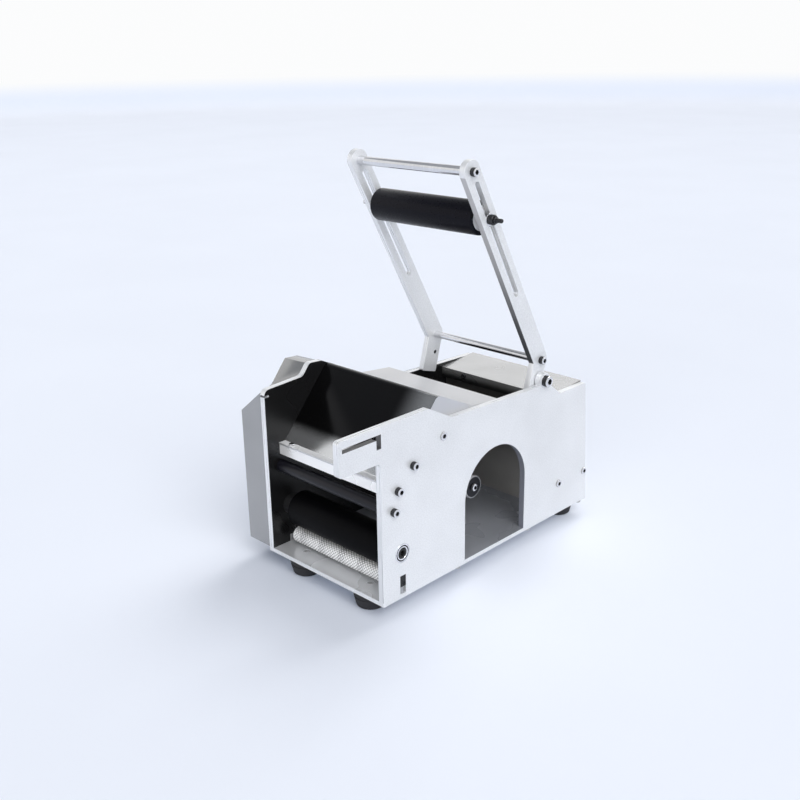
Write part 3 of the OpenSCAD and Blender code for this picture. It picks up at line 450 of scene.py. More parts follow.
@dataclass(frozen=True)
class Solid:
    """One closed solid of a CAD node, as the points of its mesh."""

    points: np.ndarray

    @property
    def low(self) -> np.ndarray:
        """Lowest corner of its box."""
        return self.points.min(axis=0)

    @property
    def high(self) -> np.ndarray:
        """Highest corner of its box."""
        return self.points.max(axis=0)

    @property
    def middle(self) -> np.ndarray:
        """Middle of its box."""
        return (self.low + self.high) / 2

    @property
    def size(self) -> tuple[float, float, float]:
        """Lengths of its box along X, Y and Z."""
        return tuple((self.high - self.low).tolist())

    @property
    def left(self) -> np.ndarray:
        """Middle of its left end."""
        return np.array([self.low[0], *self.middle[1:]])

    @property
    def line(self) -> np.ndarray:
        """Point at x = 0 of its line along X."""
        return np.array([0.0, *self.middle[1:]])

    @property
    def underside(self) -> np.ndarray:
        """Middle of its lower end."""
        return np.array([*self.middle[:2], self.low[2]])

    @property
    def radius(self) -> float:
        """Radius round a line along X."""
        return self.size[2] / 2

    @property
    def away(self) -> np.ndarray:
        """Distance of each point from its line along X."""
        return np.hypot(*(self.points - self.middle)[:, 1:].T)

    @property
    def bore(self) -> float:
        """Radius of its hole round a line along X."""
        return float(self.away.min())

    @property
    def widest(self) -> tuple[float, float]:
        """Ends along X of its widest stretch."""
        x = self.points[self.away > WIDE * self.radius, 0]
        return float(x.min()), float(x.max())

    def rod(self, edge: float) -> Surface:
        """Rod along X in its place, with rounded edges."""
        return turned(rod_profile(self.size[0], self.radius, edge), self.left)

    def tube(self, edge: float) -> Surface:
        """Ring or tube along X in its place, with rounded outer edges."""
        return turned(tube_profile(self.size[0], self.radius, self.bore, edge), self.left, closed=True)


def solids(node: str) -> list[Solid]:
    """Closed solids of a CAD node, found by passing the lowest number between points that share a triangle.

    Args:
        node: Name of the CAD node.

    Returns:
        Its solids, ordered from the left, then from the front.
    """
    mesh = frame["nodes"][node].data
    points = np.empty(len(mesh.vertices) * 3)
    mesh.vertices.foreach_get("co", points)
    corners = np.empty(len(mesh.loops), int)
    mesh.loops.foreach_get("vertex_index", corners)
    unique, same = np.unique(points.reshape(-1, 3).round(POINT_DIGITS), axis=0, return_inverse=True)
    triangles = same.reshape(-1)[corners].reshape(-1, 3)
    number = np.arange(len(unique))
    settled = False
    while not settled:
        before = number.copy()
        lowest = number[triangles].min(axis=1)
        for corner in triangles.T:
            np.minimum.at(number, corner, lowest)
        settled = bool(np.array_equal(before, number))
    found = [Solid(unique[number == n]) for n in np.unique(number)]
    return sorted(found, key=lambda s: tuple(s.middle.round(ORDER_DIGITS)))


def triangle_wave(turns: np.ndarray) -> np.ndarray:
    """Wave that is 1 at whole turns and falls evenly to 0 at half turns."""
    return np.abs(2 * (turns % 1.0) - 1)


def quarter(steps: int) -> list[float]:
    """Angles that divide a quarter circle into even steps."""
    return [i * math.pi / (2 * steps) for i in range(steps + 1)]


def turned(
    profile: Sequence[tuple[float, float | np.ndarray]],
    foot: np.ndarray,
    axis: Sequence[float] = X_AXIS,
    columns: int = 72,
    closed: bool = False,
    row_finish: Sequence[int] | None = None,
) -> Surface:
    """Turned piece: a profile of (place along the line, radius) carried once round the line.

    Args:
        profile: Points of the profile. A radius that changes round the line has a value for each column.
        foot: Point of the line from which the profile counts.
        axis: Direction of the line.
        columns: Points round the line.
        closed: Whether the profile is a closed loop, as on a tube.
        row_finish: Number of the finish on each stretch of the profile.

    Returns:
        The surface.
    """
    along = np.array([place for place, _ in profile])
    radius = np.stack([np.broadcast_to(r, columns) for _, r in profile])
    ahead = np.asarray(axis, float) / np.linalg.norm(axis)
    side = np.cross(ahead, Z_AXIS if abs(ahead[2]) < ALONG else X_AXIS)
    side = side / np.linalg.norm(side)
    turn = np.linspace(0, TURN, columns, endpoint=False)
    spoke = np.cos(turn)[:, None] * side + np.sin(turn)[:, None] * np.cross(ahead, side)
    grid = foot + along[:, None, None] * ahead + radius[..., None] * spoke
    return Surface.lattice(grid, closed, row_finish)


def rod_profile(length: float, radius: float, edge: float) -> list[tuple[float, float]]:
    """Profile of a solid rod with rounded ends: each edge is a quarter circle of five points.

    Args:
        length: Length of the rod.
        radius: Radius of the rod.
        edge: Radius of its edges.

    Returns:
        The profile, from the middle of one end to the middle of the other.
    """
    sweep = quarter(4)
    first = [(edge - edge * math.cos(a), radius - edge + edge * math.sin(a)) for a in sweep]
    last = [(length - x, r) for x, r in reversed(first)]
    return [(0.0, 0.0), *first, *last, (length, 0.0)]


def tube_profile(length: float, outer: float, inner: float, edge: float) -> list[tuple[float, float]]:
    """Closed profile of a tube with rounded outer edges and square inner ones."""
    return [(0.0, inner), *rod_profile(length, outer, edge)[1:-1], (length, inner)]


def hexagon(across_corners: float, columns: int) -> np.ndarray:
    """Distance from the middle of a hexagon to its edge at evenly spaced angles.

    The distance is the inner radius over the cosine of the angle from the nearest side's middle.

    Args:
        across_corners: Width of the hexagon over its corners.
        columns: Number of angles, a multiple of 12 so that the corners are met.

    Returns:
        The distances.
    """
    turn = np.linspace(0, TURN, columns, endpoint=False)
    from_side = (turn % (TURN / 6)) - TURN / 12
    return across_corners / 2 * math.cos(math.pi / 6) / np.cos(from_side)


@dataclass(frozen=True)
class ScrewShape:
    """Details of a screw head that its CAD solid leaves plain."""

    style: HeadStyle
    ridges: int = 30
    ridge_depth: float = 0.12 * MM
    columns: int = 120
    head_share: float = 0.97
    tip_bevel: float = 0.3 * MM
    seat_bevel: float = 0.2 * MM
    socket_bevel: float = 0.15 * MM
    socket_width: float = 1.1
    socket_floor: float = 0.45
    socket_point: float = 0.1
    seat_rise: float = 0.12
    edge_share: float = 0.16
    edge_fall: float = 0.35
    edge_draw: float = 0.3
    # Finish of each row: a painted highlight (finish 2) on the head's rim and end, and painted shade (finish
    # 1) in the socket
    row_finish: tuple[int, ...] = (0,) * 6 + (2,) * 3 + (1,) * 3

    def build(self, solid: Solid, axis: Sequence[float]) -> Surface:
        """Screw in the place of its solid, with a grooved or plain head and a hexagonal socket.

        Rows run from the shank's tip to the seat, over the head, and down into the socket. On a cap
        head the side's radius falls by a triangle wave round the head.

        Args:
            solid: CAD solid of the screw.
            axis: Line of the screw, either way round.

        Returns:
            The surface.
        """
        direction = np.asarray(axis, float) / np.linalg.norm(axis)
        place = (solid.points - solid.middle) @ direction
        away = np.linalg.norm(solid.points - solid.middle - place[:, None] * direction, axis=1)
        head = place[away > self.head_share * away.max()]
        if abs(head.min() - place.min()) < abs(head.max() - place.max()):
            direction, place, head = -direction, -place, -head
        seat, top, tip = head.min(), head.max(), place.min()
        foot = solid.middle + seat * direction
        shank = float(np.median(away[np.abs(place - tip) < NEAR]))
        return self._rows(top - seat, seat - tip, float(away.max()), shank, foot, direction)

    def _rows(
        self, height: float, depth: float, head: float, shank: float, foot: np.ndarray, axis: np.ndarray
    ) -> Surface:
        """Screw from its measures, as rows of (place from the seat, radius).

        Args:
            height: Height of the head.
            depth: Length of the shank below the seat.
            head: Radius of the head.
            shank: Radius of the shank.
            foot: Middle of the seat.
            axis: Direction in which the head looks.

        Returns:
            The surface, with painted shade as finish 1 in the socket and a painted highlight as finish 2 on
            the head's end.
        """
        turn = np.linspace(0, self.ridges, self.columns, endpoint=False)
        grooved = self.style is HeadStyle.CAP
        side = head - self.ridge_depth * triangle_wave(turn) if grooved else head
        edge = min(self.edge_share * head, height / 2)
        socket = hexagon(self.socket_width * head, self.columns)
        floor = self.socket_floor * height
        rows = [
            (-depth, 0.0),
            (-depth, shank - self.tip_bevel),
            (-depth + self.tip_bevel, shank),
            (0.0, shank),
            (0.0, head - self.seat_bevel),
            (self.seat_rise * height, side),
            (height - edge, side),
            (height - self.edge_fall * edge, head - self.edge_draw * edge),
            (height, head - edge),
            (height, socket + self.socket_bevel),
            (height - self.socket_bevel, socket),
            (floor, socket),
            (floor - self.socket_point * height, 0.0),
        ]
        return turned(rows, foot, axis, self.columns, row_finish=self.row_finish)


@dataclass(frozen=True)
class Faces:
    """Normals, centres and areas of a mesh's faces, one row per face."""

    normals: np.ndarray
    centres: np.ndarray
    areas: np.ndarray

    @classmethod
    def of(cls, mesh: bpy.types.Mesh) -> "Faces":
        """Read the faces of a mesh.

        Args:
            mesh: The mesh.

        Returns:
            Its faces.
        """
        count = len(mesh.polygons)
        normals, centres, areas = np.empty(count * 3), np.empty(count * 3), np.empty(count)
        mesh.polygons.foreach_get("normal", normals)
        mesh.polygons.foreach_get("center", centres)
        mesh.polygons.foreach_get("area", areas)
        return cls(normals.reshape(-1, 3), centres.reshape(-1, 3), areas)


class Builder:
    """Puts surfaces and dressed copies into the scene in the place of CAD nodes."""

    # Angle over which an edge is sharp, and under which a merged copy loses it
    sharp = math.radians(32)
    flat = math.radians(0.5)
    # Distance within which points merge on a new surface, and on a copy
    weld = 1e-7
    copy_weld = 1e-6

    @classmethod
    def piece(cls, parts: Sequence[Surface], node: str, finishes: Sequence[Finish]) -> bpy.types.Object:
        """New piece that stands for a CAD node.

        Args:
            parts: Its surfaces.
            node: Name of the CAD node.
            finishes: Its finishes, by the numbers on the surfaces' faces.

        Returns:
            The new object.
        """
        surface = Surface.joined(parts)
        mesh = bpy.data.meshes.new(f"{node}_look")
        mesh.from_pydata(surface.points.tolist(), [], surface.faces.tolist())
        mesh.polygons.foreach_set("material_index", surface.finish.astype(np.int32))
        work = bmesh.new()
        work.from_mesh(mesh)
        bmesh.ops.remove_doubles(work, verts=work.verts, dist=cls.weld)
        work.to_mesh(mesh)
        work.free()
        return cls._place(mesh, node, finishes)

    @classmethod
    def copy(
        cls, node: str, finishes: Sequence[Finish], edge: float, pick: Pick | None = None, segments: int = 3
    ) -> bpy.types.Object:
        """Merged copy of a CAD node with rounded edges.

        Args:
            node: Name of the CAD node.
            finishes: Its finishes.
            edge: Width of the rounded edges.
            pick: Gives each face's finish number.
            segments: Steps across a rounded edge.

        Returns:
            The new object.
        """
        mesh = bpy.data.meshes.new(f"{node}_look")
        work = bmesh.new()
        work.from_mesh(frame["nodes"][node].data)
        bmesh.ops.remove_doubles(work, verts=work.verts, dist=cls.copy_weld)
        bmesh.ops.dissolve_limit(work, angle_limit=cls.flat, verts=work.verts, edges=work.edges)
        work.to_mesh(mesh)
        work.free()
        number = np.zeros(len(mesh.polygons), np.int32)
        if pick is not None:
            number = pick(Faces.of(mesh)).astype(np.int32)
        mesh.polygons.foreach_set("material_index", number)
        made = cls._place(mesh, node, finishes)
        bevel = made.modifiers.new("rounded_edges", "BEVEL")
        bevel.width, bevel.segments = edge, segments
        bevel.limit_method = "ANGLE"
        bevel.angle_limit = cls.sharp
        bevel.use_clamp_overlap = True
        bevel.harden_normals = True
        return made

    @classmethod
    def _place(cls, mesh: bpy.types.Mesh, node: str, finishes: Sequence[Finish]) -> bpy.types.Object:
        """Object of a mesh with smooth faces, its finishes, its body and the node that it stands for.

        Args:
            mesh: The mesh.
            node: Name of the CAD node.
            finishes: Its finishes.

        Returns:
            The new object.
        """
        for finish in finishes:
            mesh.materials.append(finish.material())
        mesh.shade_smooth()
        mesh.set_sharp_from_angle(angle=cls.sharp)
        made = bpy.data.objects.new(f"{node}_look", mesh)
        bpy.context.scene.collection.objects.link(made)
        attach(made, frame["nodes"][node]["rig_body"])
        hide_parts(node)
        LOG.info("%s: %d faces, %s", made.name, len(mesh.polygons), finishes[0].name)
        return made

    @classmethod
    def screws(
        cls, node: str, style: HeadStyle, axis: Sequence[float] = X_AXIS, finish: Finish = SCREW
    ) -> bpy.types.Object:
        """Screws of a node that all lie along one line.

        Args:
            node: Name of the CAD node.
            style: Kind of head.
            axis: Direction of the screws.
            finish: Their finish.

        Returns:
            The new object.
        """
        shape = ScrewShape(style)
        parts = [shape.build(solid, axis) for solid in solids(node)]
        # Painted shade in the sockets and a painted highlight on the heads' ends
        return cls.piece(parts, node, [finish, DARK, BRIGHT])

    @classmethod
    def tubes(cls, node: str, edge: float, finish: Finish) -> bpy.types.Object:
        """Rings or tubes of a node along X, with rounded outer edges."""
        return cls.piece([solid.tube(edge) for solid in solids(node)], node, [finish])

    @classmethod
    def rods(cls, node: str, edge: float, finish: Finish) -> bpy.types.Object:
        """Rods of a node along X, with rounded edges."""
        return cls.piece([solid.rod(edge) for solid in solids(node)], node, [finish])


def within(values: np.ndarray, ends: tuple[float, float]) -> np.ndarray:
    """Whether each value lies between two ends."""
    return (values > ends[0]) & (values < ends[1])


def faces_across(faces: Faces) -> np.ndarray:
    """Finish 0 on faces that look along X, and 1 on the edges round them."""
    return np.where(np.abs(faces.normals[:, 0]) > ALONG, 0, 1)


def arch_plate_faces(faces: Faces) -> np.ndarray:
    """As faces_across, with painted shade as finish 2 on the walls of the hooked slot in the nose, and as 3
    on the arch's.

    Args:
        faces: Faces of the piece.

    Returns:
        Number of the finish on each face.
    """
    y, z = faces.centres[:, 1], faces.centres[:, 2]
    slot = within(y, NOSE_SLOT_Y) & within(z, NOSE_SLOT_Z)
    arch = within(y, ARCH_Y) & within(z, ARCH_Z)
    # Painted shade on the walls of the slot and of the arch
    wall = np.where(slot, 2, np.where(arch, 3, 1))
    return np.where(np.abs(faces.normals[:, 0]) < ACROSS, wall, faces_across(faces))


def black_plate_faces(faces: Faces) -> np.ndarray:
    """Finish 0 on faces that look to +X and on the edge that falls to the back, and 1 on all others.

    Args:
        faces: Faces of the piece.

    Returns:
        Number of the finish on each face.
    """
    x, y, z = faces.normals.T
    falling = (y > 0.2) & (z > 0.5)
    return np.where((x > ALONG) | falling, 0, 1)


def upper_face(faces: Faces) -> np.ndarray:
    """Finish 0 on faces that look up, and 1 on all others."""
    return np.where(faces.normals[:, 2] > ALONG, 0, 1)


def chute_faces(faces: Faces) -> np.ndarray:
    """Finish 1, a painted reflection, on the slope that looks up to the front and over its ridge, 2 on the
    lip, 0 on all others.

    Args:
        faces: Faces of the piece.

    Returns:
        Number of the finish on each face.
    """
    y, z = faces.normals[:, 1], faces.normals[:, 2]
    height = faces.centres[:, 2]
    leans_forward, looks_up, level = y < -0.5, z > 0.3, z > 0.998
    ridge = (height > RIDGE_FOOT) & (y < 0.35)
    # Painted reflection on the slope and the ridge
    slope = np.where((leans_forward | ridge) & looks_up, 1, 0)
    return np.where(level & (height < LIP_TOP), 2, slope)


def arm_faces(faces: Faces) -> np.ndarray:
    """Finish 0 on an arm's flat faces, 2, painted shade, on the long edge that looks down to the front, 1 on
    the others.

    Args:
        faces: Faces of the piece.

    Returns:
        Number of the finish on each face.
    """
    leans_forward, looks_down = faces.normals[:, 1] < -0.5, faces.normals[:, 2] < -0.3
    below = leans_forward & looks_down
    longest = faces.areas > WIDE * faces.areas[below].max()
    # Painted shade on the long lower front edge
    return np.where(below & longest, 2, faces_across(faces))


@dataclass
class Chassis:
    """Base plate, side plates, drive cover, feet and their screws."""

    plate_edge: float = 0.4 * MM
    sheet_edge: float = 0.5 * MM
    foot_lip: float = 1.6 * MM
    foot_groove: float = 0.7 * MM
    groove_height: float = 0.62
    groove_half: float = 0.8 * MM
    post_edge: float = 0.3 * MM
    nut_bore: float = 2.05 * MM
    nut_edge: float = 0.5 * MM
    nut_bevel: float = 0.46

    def build(self) -> None:
        """Build and dress every piece of the chassis."""
        # The base plate's deck carries painted shade towards the back
        Builder.copy("base_plate", [DECK, PLATE], self.plate_edge, upper_face)
        # The right plate's slot and arch walls carry painted shade
        arch_finishes = [PLATE, EDGE, SLOT_SHADE, ARCH_SHADE]
        Builder.copy("right_side_plate", arch_finishes, self.plate_edge, arch_plate_faces)
        Builder.copy("left_side_plate", [BLACK_FACE, EDGE], self.plate_edge, black_plate_faces)
        Builder.copy("drive_cover", [COVER], self.sheet_edge)
        Builder.copy("cover_posts", [EDGE], self.post_edge)
        Builder.screws("cover_screws", HeadStyle.LOW)
        Builder.screws("base_screws", HeadStyle.LOW, Z_AXIS)
        self._feet()
        self._foot_screws()

    def _feet(self) -> None:
        """Moulded feet: a tapered profile with rounded lips, a shallow groove and a recess for the screw."""
        parts = []
        for solid in solids("rubber_feet"):
            height = solid.size[2]
            away = np.hypot(*(solid.points - solid.middle)[:, :2].T)
            ground = away[solid.points[:, 2] < solid.low[2] + NEAR]
            top, low = float(away.max()), float(ground.max())
            recess, bore = float(ground.min()), float(away.min())
            lip, groove = self.foot_lip, self.foot_groove
            sweep = quarter(5)
            lower = [(lip - lip * math.cos(a), low - lip + lip * math.sin(a)) for a in sweep]
            upper = [(height - lip + lip * math.sin(a), top - lip + lip * math.cos(a)) for a in sweep]
            slope = (top - low) / height
            level, half = height * self.groove_height, self.groove_half
            ring = [
                (level + dx, low + slope * level - depth)
                for dx, depth in ((-half, 0.0), (-half / 2, groove), (half / 2, groove), (half, 0.0))
            ]
            inside = [(height, bore), (height / 2, bore), (height / 2, recess), (0.0, recess)]
            profile = [*lower, *ring, *upper, *inside]
            parts.append(turned(profile, solid.underside, Z_AXIS, closed=True))
        Builder.piece(parts, "rubber_feet", [FOOT])

    def _foot_screws(self) -> None:
        """Screws of the feet and their hexagonal nuts, whose upper corners are turned off."""
        shape = ScrewShape(HeadStyle.LOW)
        parts = []
        for solid in solids("foot_screws"):
            height = solid.size[2]
            if height > SHORTEST_SCREW:
                parts.append(shape.build(solid, Z_AXIS))
                continue
            wide = solid.size[0]
            outer = hexagon(wide, NUT_COLUMNS)
            bevel = np.minimum(outer, self.nut_bevel * wide)
            rows = [
                (0.0, self.nut_bore), (0.0, outer), (height - self.nut_edge, outer), (height, bevel),
                (height, self.nut_bore),
            ]
            parts.append(turned(rows, solid.underside, Z_AXIS, NUT_COLUMNS, closed=True))
        # The sockets take the darker screw steel as painted shade
        Builder.piece(parts, "foot_screws", [DECK, SCREW, DECK])


@dataclass
class LabelPath:
    """Folded chute, peel bar, tie rods and the screws on the side plates."""

    sheet_edge: float = 0.15 * MM
    bar_edge: float = 0.5 * MM

    def build(self) -> None:
        """Build and dress every piece that the labels pass."""
        # The chute's slope and ridge carry a painted reflection
        Builder.copy("label_chute", [SHEET, SLOPE_REFLECTION, FRONT_LIP], self.sheet_edge, chute_faces, segments=2)
        Builder.copy("peel_bar", [WHITE], self.bar_edge)
        Builder.screws("peel_screws", HeadStyle.LOW, Z_AXIS)
        Builder.rods("chute_tie_rod", self.bar_edge, BRIGHT)
        Builder.rods("ridge_tie_rod", self.bar_edge, BRIGHT)
        Builder.screws("plate_bolts", HeadStyle.CAP, finish=BOLT)
        Builder.screws("wall_screws", HeadStyle.LOW)


@dataclass
class RearHousing:
    """Inner wall, rear panel and the cover with the screws of its lip."""

    edge: float = 0.4 * MM
    sleeve_edge: float = 0.2 * MM

    def build(self) -> None:
        """Build and dress the rear housing."""
        # The inner back wall carries painted shade
        Builder.copy("inner_back_wall", [BACK_WALL_SHADE], self.edge)
        Builder.copy("rear_panel", [PLATE], self.edge)
        # The faces of the cover that don't look up carry painted shade
        Builder.copy("rear_top_cover", [LID, LID_LIP_SHADE], self.edge, upper_face)
        self._lip_screws()

    def _lip_screws(self) -> None:
        """Screws of the cover's lip, and the shorter sleeves behind it, all along Y."""
        parts = []
        for solid in solids("lid_screws"):
            length = solid.size[1]
            if length > SHORTEST_SCREW:
                parts.append(ScrewShape(HeadStyle.LOW).build(solid, Y_AXIS))
                continue
            bore = float(np.hypot(*(solid.points - solid.middle)[:, ::2].T).min())
            profile = tube_profile(length, solid.radius, bore, self.sleeve_edge)
            foot = np.array([solid.middle[0], solid.low[1], solid.middle[2]])
            parts.append(turned(profile, foot, Y_AXIS, closed=True))
        # Painted shade in the sockets
        Builder.piece(parts, "lid_screws", [BOLT, DARK, BOLT])


@dataclass
class FeedTrain:
    """Drive roller, knurled pinch roller and guide roller with their bearings and gears."""

    rubber_edge: float = 0.8 * MM
    knurl_pitch: float = 3.4 * MM
    knurl_depth: float = 0.6 * MM
    knurl_steps: int = 6
    valley: float = 0.72
    plain_end: float = 1.2 * MM
    plain_drop: float = 0.1 * MM
    plain_edge: float = 0.5 * MM
    journal: float = 2.0 * MM
    dark_rows: int = 4
    small_edge: float = 0.3 * MM
    shaft_edge: float = 0.4 * MM
    gear_edge: float = 0.15 * MM
    tube_edge: float = 0.6 * MM
    outer_race: float = 1.5 * MM
    inner_race: float = 1.3 * MM
    seal_drop: float = 0.35 * MM
    seal_step: float = 0.1 * MM

    def build(self) -> None:
        """Build and dress the feed rollers and what carries them."""
        self._bearings()
        Builder.copy("drive_shaft", [DARK], self.shaft_edge)
        Builder.tubes("drive_rubber", self.rubber_edge, DRIVE_RUBBER)
        Builder.copy("drive_gear", [BRASS], self.gear_edge, segments=2)
        self._knurled_roller()
        Builder.copy("pinch_gear", [BRASS], self.gear_edge, segments=2)
        Builder.copy("pinch_blocks", [DARK], self.small_edge)
        Builder.copy("pinch_set_screws", [SCREW], self.shaft_edge)
        Builder.rods("guide_axle", self.shaft_edge, BRIGHT)
        Builder.tubes("guide_roller", self.tube_edge, PLASTIC)

    def _bearings(self) -> None:
        """Ball bearings: outer race, sunk seal and inner race are stretches of one turned profile.

        The left bearing's races are painted dark as shade, and the right one's are bright.
        """
        parts = []
        # Painted shade (finish 2) on the left bearing's races
        for solid, race in zip(solids("drive_bearings"), (2, 0)):
            length, outer, inner = solid.size[0], solid.radius, solid.bore
            sunk, edge = self.seal_drop, self.small_edge
            race_out, race_in = outer - self.outer_race, inner + self.inner_race
            half = [
                (edge, outer), (0.0, outer - edge), (0.0, race_out), (sunk, race_out - self.seal_step),
                (sunk, race_in + self.seal_step), (0.0, race_in), (0.0, inner + edge), (edge, inner),
            ]
            other = [(length - x, r) for x, r in reversed(half)]
            numbers = [race, race, race, 1, race, race, race]
            row_finish = [*numbers, race, *numbers, race]
            parts.append(turned(half + other, solid.left, closed=True, row_finish=row_finish))
        Builder.piece(parts, "drive_bearings", [BRIGHT, RUBBER, DARK])

    def _knurled_roller(self) -> None:
        """Knurled roller: two crossed triangle waves cut diamonds into it, and the deeper cut counts.

        Rows cover the journals, the plain ends and the knurled length; columns go round the roller. Faces
        whose corners are cut deeper than the valley's share on average get painted shade. Journals
        and end faces are blackened.
        """
        solid = solids("pinch_roller")[0]
        low, high, radius = float(solid.low[0]), float(solid.high[0]), solid.radius
        start, stop = solid.widest
        count = round(TURN * radius / self.knurl_pitch)
        columns = count * self.knurl_steps
        steps = int((stop - start - 2 * self.plain_end) / self.knurl_pitch) * self.knurl_steps
        x = np.linspace(start + self.plain_end, stop - self.plain_end, steps + 1)
        turn = np.linspace(0, count, columns, endpoint=False)[None, :]
        way = ((x - x[0]) / self.knurl_pitch)[:, None]
        deep = np.maximum(triangle_wave(turn + way), triangle_wave(turn - way))
        knurl = radius - self.knurl_depth * deep ** 2
        journal, bevel = self.journal, self.small_edge
        edge, end = self.plain_edge, radius - self.plain_drop
        before = [
            (low, 0.0), (low, journal - bevel), (low + bevel, journal), (start, journal),
            (start, radius - edge), (start + edge, end),
        ]
        after = [
            (stop - edge, end), (stop, radius - edge), (stop, journal),
            (high - bevel, journal), (high, journal - bevel), (high, 0.0),
        ]
        rows = [*before, *zip(x, knurl), *after]
        numbers = np.zeros(len(rows) - 1, int)
        numbers[: self.dark_rows] = numbers[-self.dark_rows :] = 1
        surface = turned(rows, solid.line, columns=columns, row_finish=numbers)
        between = (deep[:-1] + deep[1:]) / 2
        middle = (between + np.roll(between, -1, axis=1)) / 2
        first = len(before) * columns
        # Painted shade in the deep cuts
        surface.finish[first : first + middle.size] = np.where(middle > self.valley, 2, 0).ravel()
        Builder.piece([surface], "pinch_roller", [KNURL, DARK, VALLEY_SHADE])


@dataclass
class LabelSpindle:
    """Spindle on which the label roll turns."""

    rim: float = 1.3 * MM
    face_drop: float = 0.3 * MM
    face_step: float = 0.2 * MM
    round_edge: float = 0.6 * MM
    shaft_edge: float = 0.5 * MM
    collar_edge: float = 0.4 * MM
    bush_edge: float = 0.3 * MM

    def build(self) -> None:
        """Build and dress the spindle."""
        Builder.copy("spindle_bush", [BRONZE], self.bush_edge)
        Builder.rods("spindle_shaft", self.shaft_edge, BRIGHT)
        Builder.tubes("spindle_core", self.round_edge, PLASTIC)
        self._disc()
        Builder.screws("spindle_screw", HeadStyle.CAP)
        Builder.tubes("spindle_collar", self.collar_edge, SCREW)

    def _disc(self) -> None:
        """End disc: a steel rim round a black face, as stretches of one turned profile; the rim's lighter
        steel is a painted highlight on the disc's edge.
        """
        solid = solids("spindle_disc")[0]
        length, radius = solid.size[0], solid.radius
        bore, edge = solid.bore, self.round_edge
        face, floor = radius - self.rim, length - self.face_drop
        profile = [
            (0.0, bore), (0.0, radius - edge), (edge, radius), (length - edge, radius),
            (length, radius - edge), (length, face), (floor, face - self.face_step), (floor, bore),
        ]
        # Painted highlight: the rim and outer side are lighter steel, the face black
        surface = turned(profile, solid.left, closed=True, row_finish=[0, 0, 0, 0, 0, 1, 1, 1])
        Builder.piece([surface], "spindle_disc", [SCREW, PLASTIC])


@dataclass
class PressArm:
    """Swinging arm: two slotted plates, two bars and their screws and pivots."""

    plate_edge: float = 0.5 * MM
    bar_edge: float = 0.5 * MM
    washer_edge: float = 0.2 * MM

    def build(self) -> None:
        """Build and dress the arm."""
        Builder.copy("arm_left_plate", [PLATE, EDGE], self.plate_edge, faces_across)
        # The right arm's long lower front edge carries painted shade
        Builder.copy("arm_right_plate", [PLATE, EDGE, PAINTED_SHADE_EDGE], self.plate_edge, arm_faces)
        Builder.rods("handle_bar", self.bar_edge, BRIGHT)
        Builder.rods("cross_bar", self.bar_edge, BRIGHT)
        Builder.screws("arm_bolts", HeadStyle.CAP, finish=BOLT)
        self._pivots()
        Builder.tubes("pivot_washers", self.washer_edge, BRIGHT)

    def _pivots(self) -> None:
        """Plain pin in the left ear and cap-head bolt in the right one."""
        pin, bolt = solids("pivot_bolts")
        parts = [pin.rod(self.bar_edge), ScrewShape(HeadStyle.CAP).build(bolt, X_AXIS)]
        # Painted shade in the bolt's socket and a painted highlight on its head's end
        Builder.piece(parts, "pivot_bolts", [BOLT, DARK, BRIGHT])


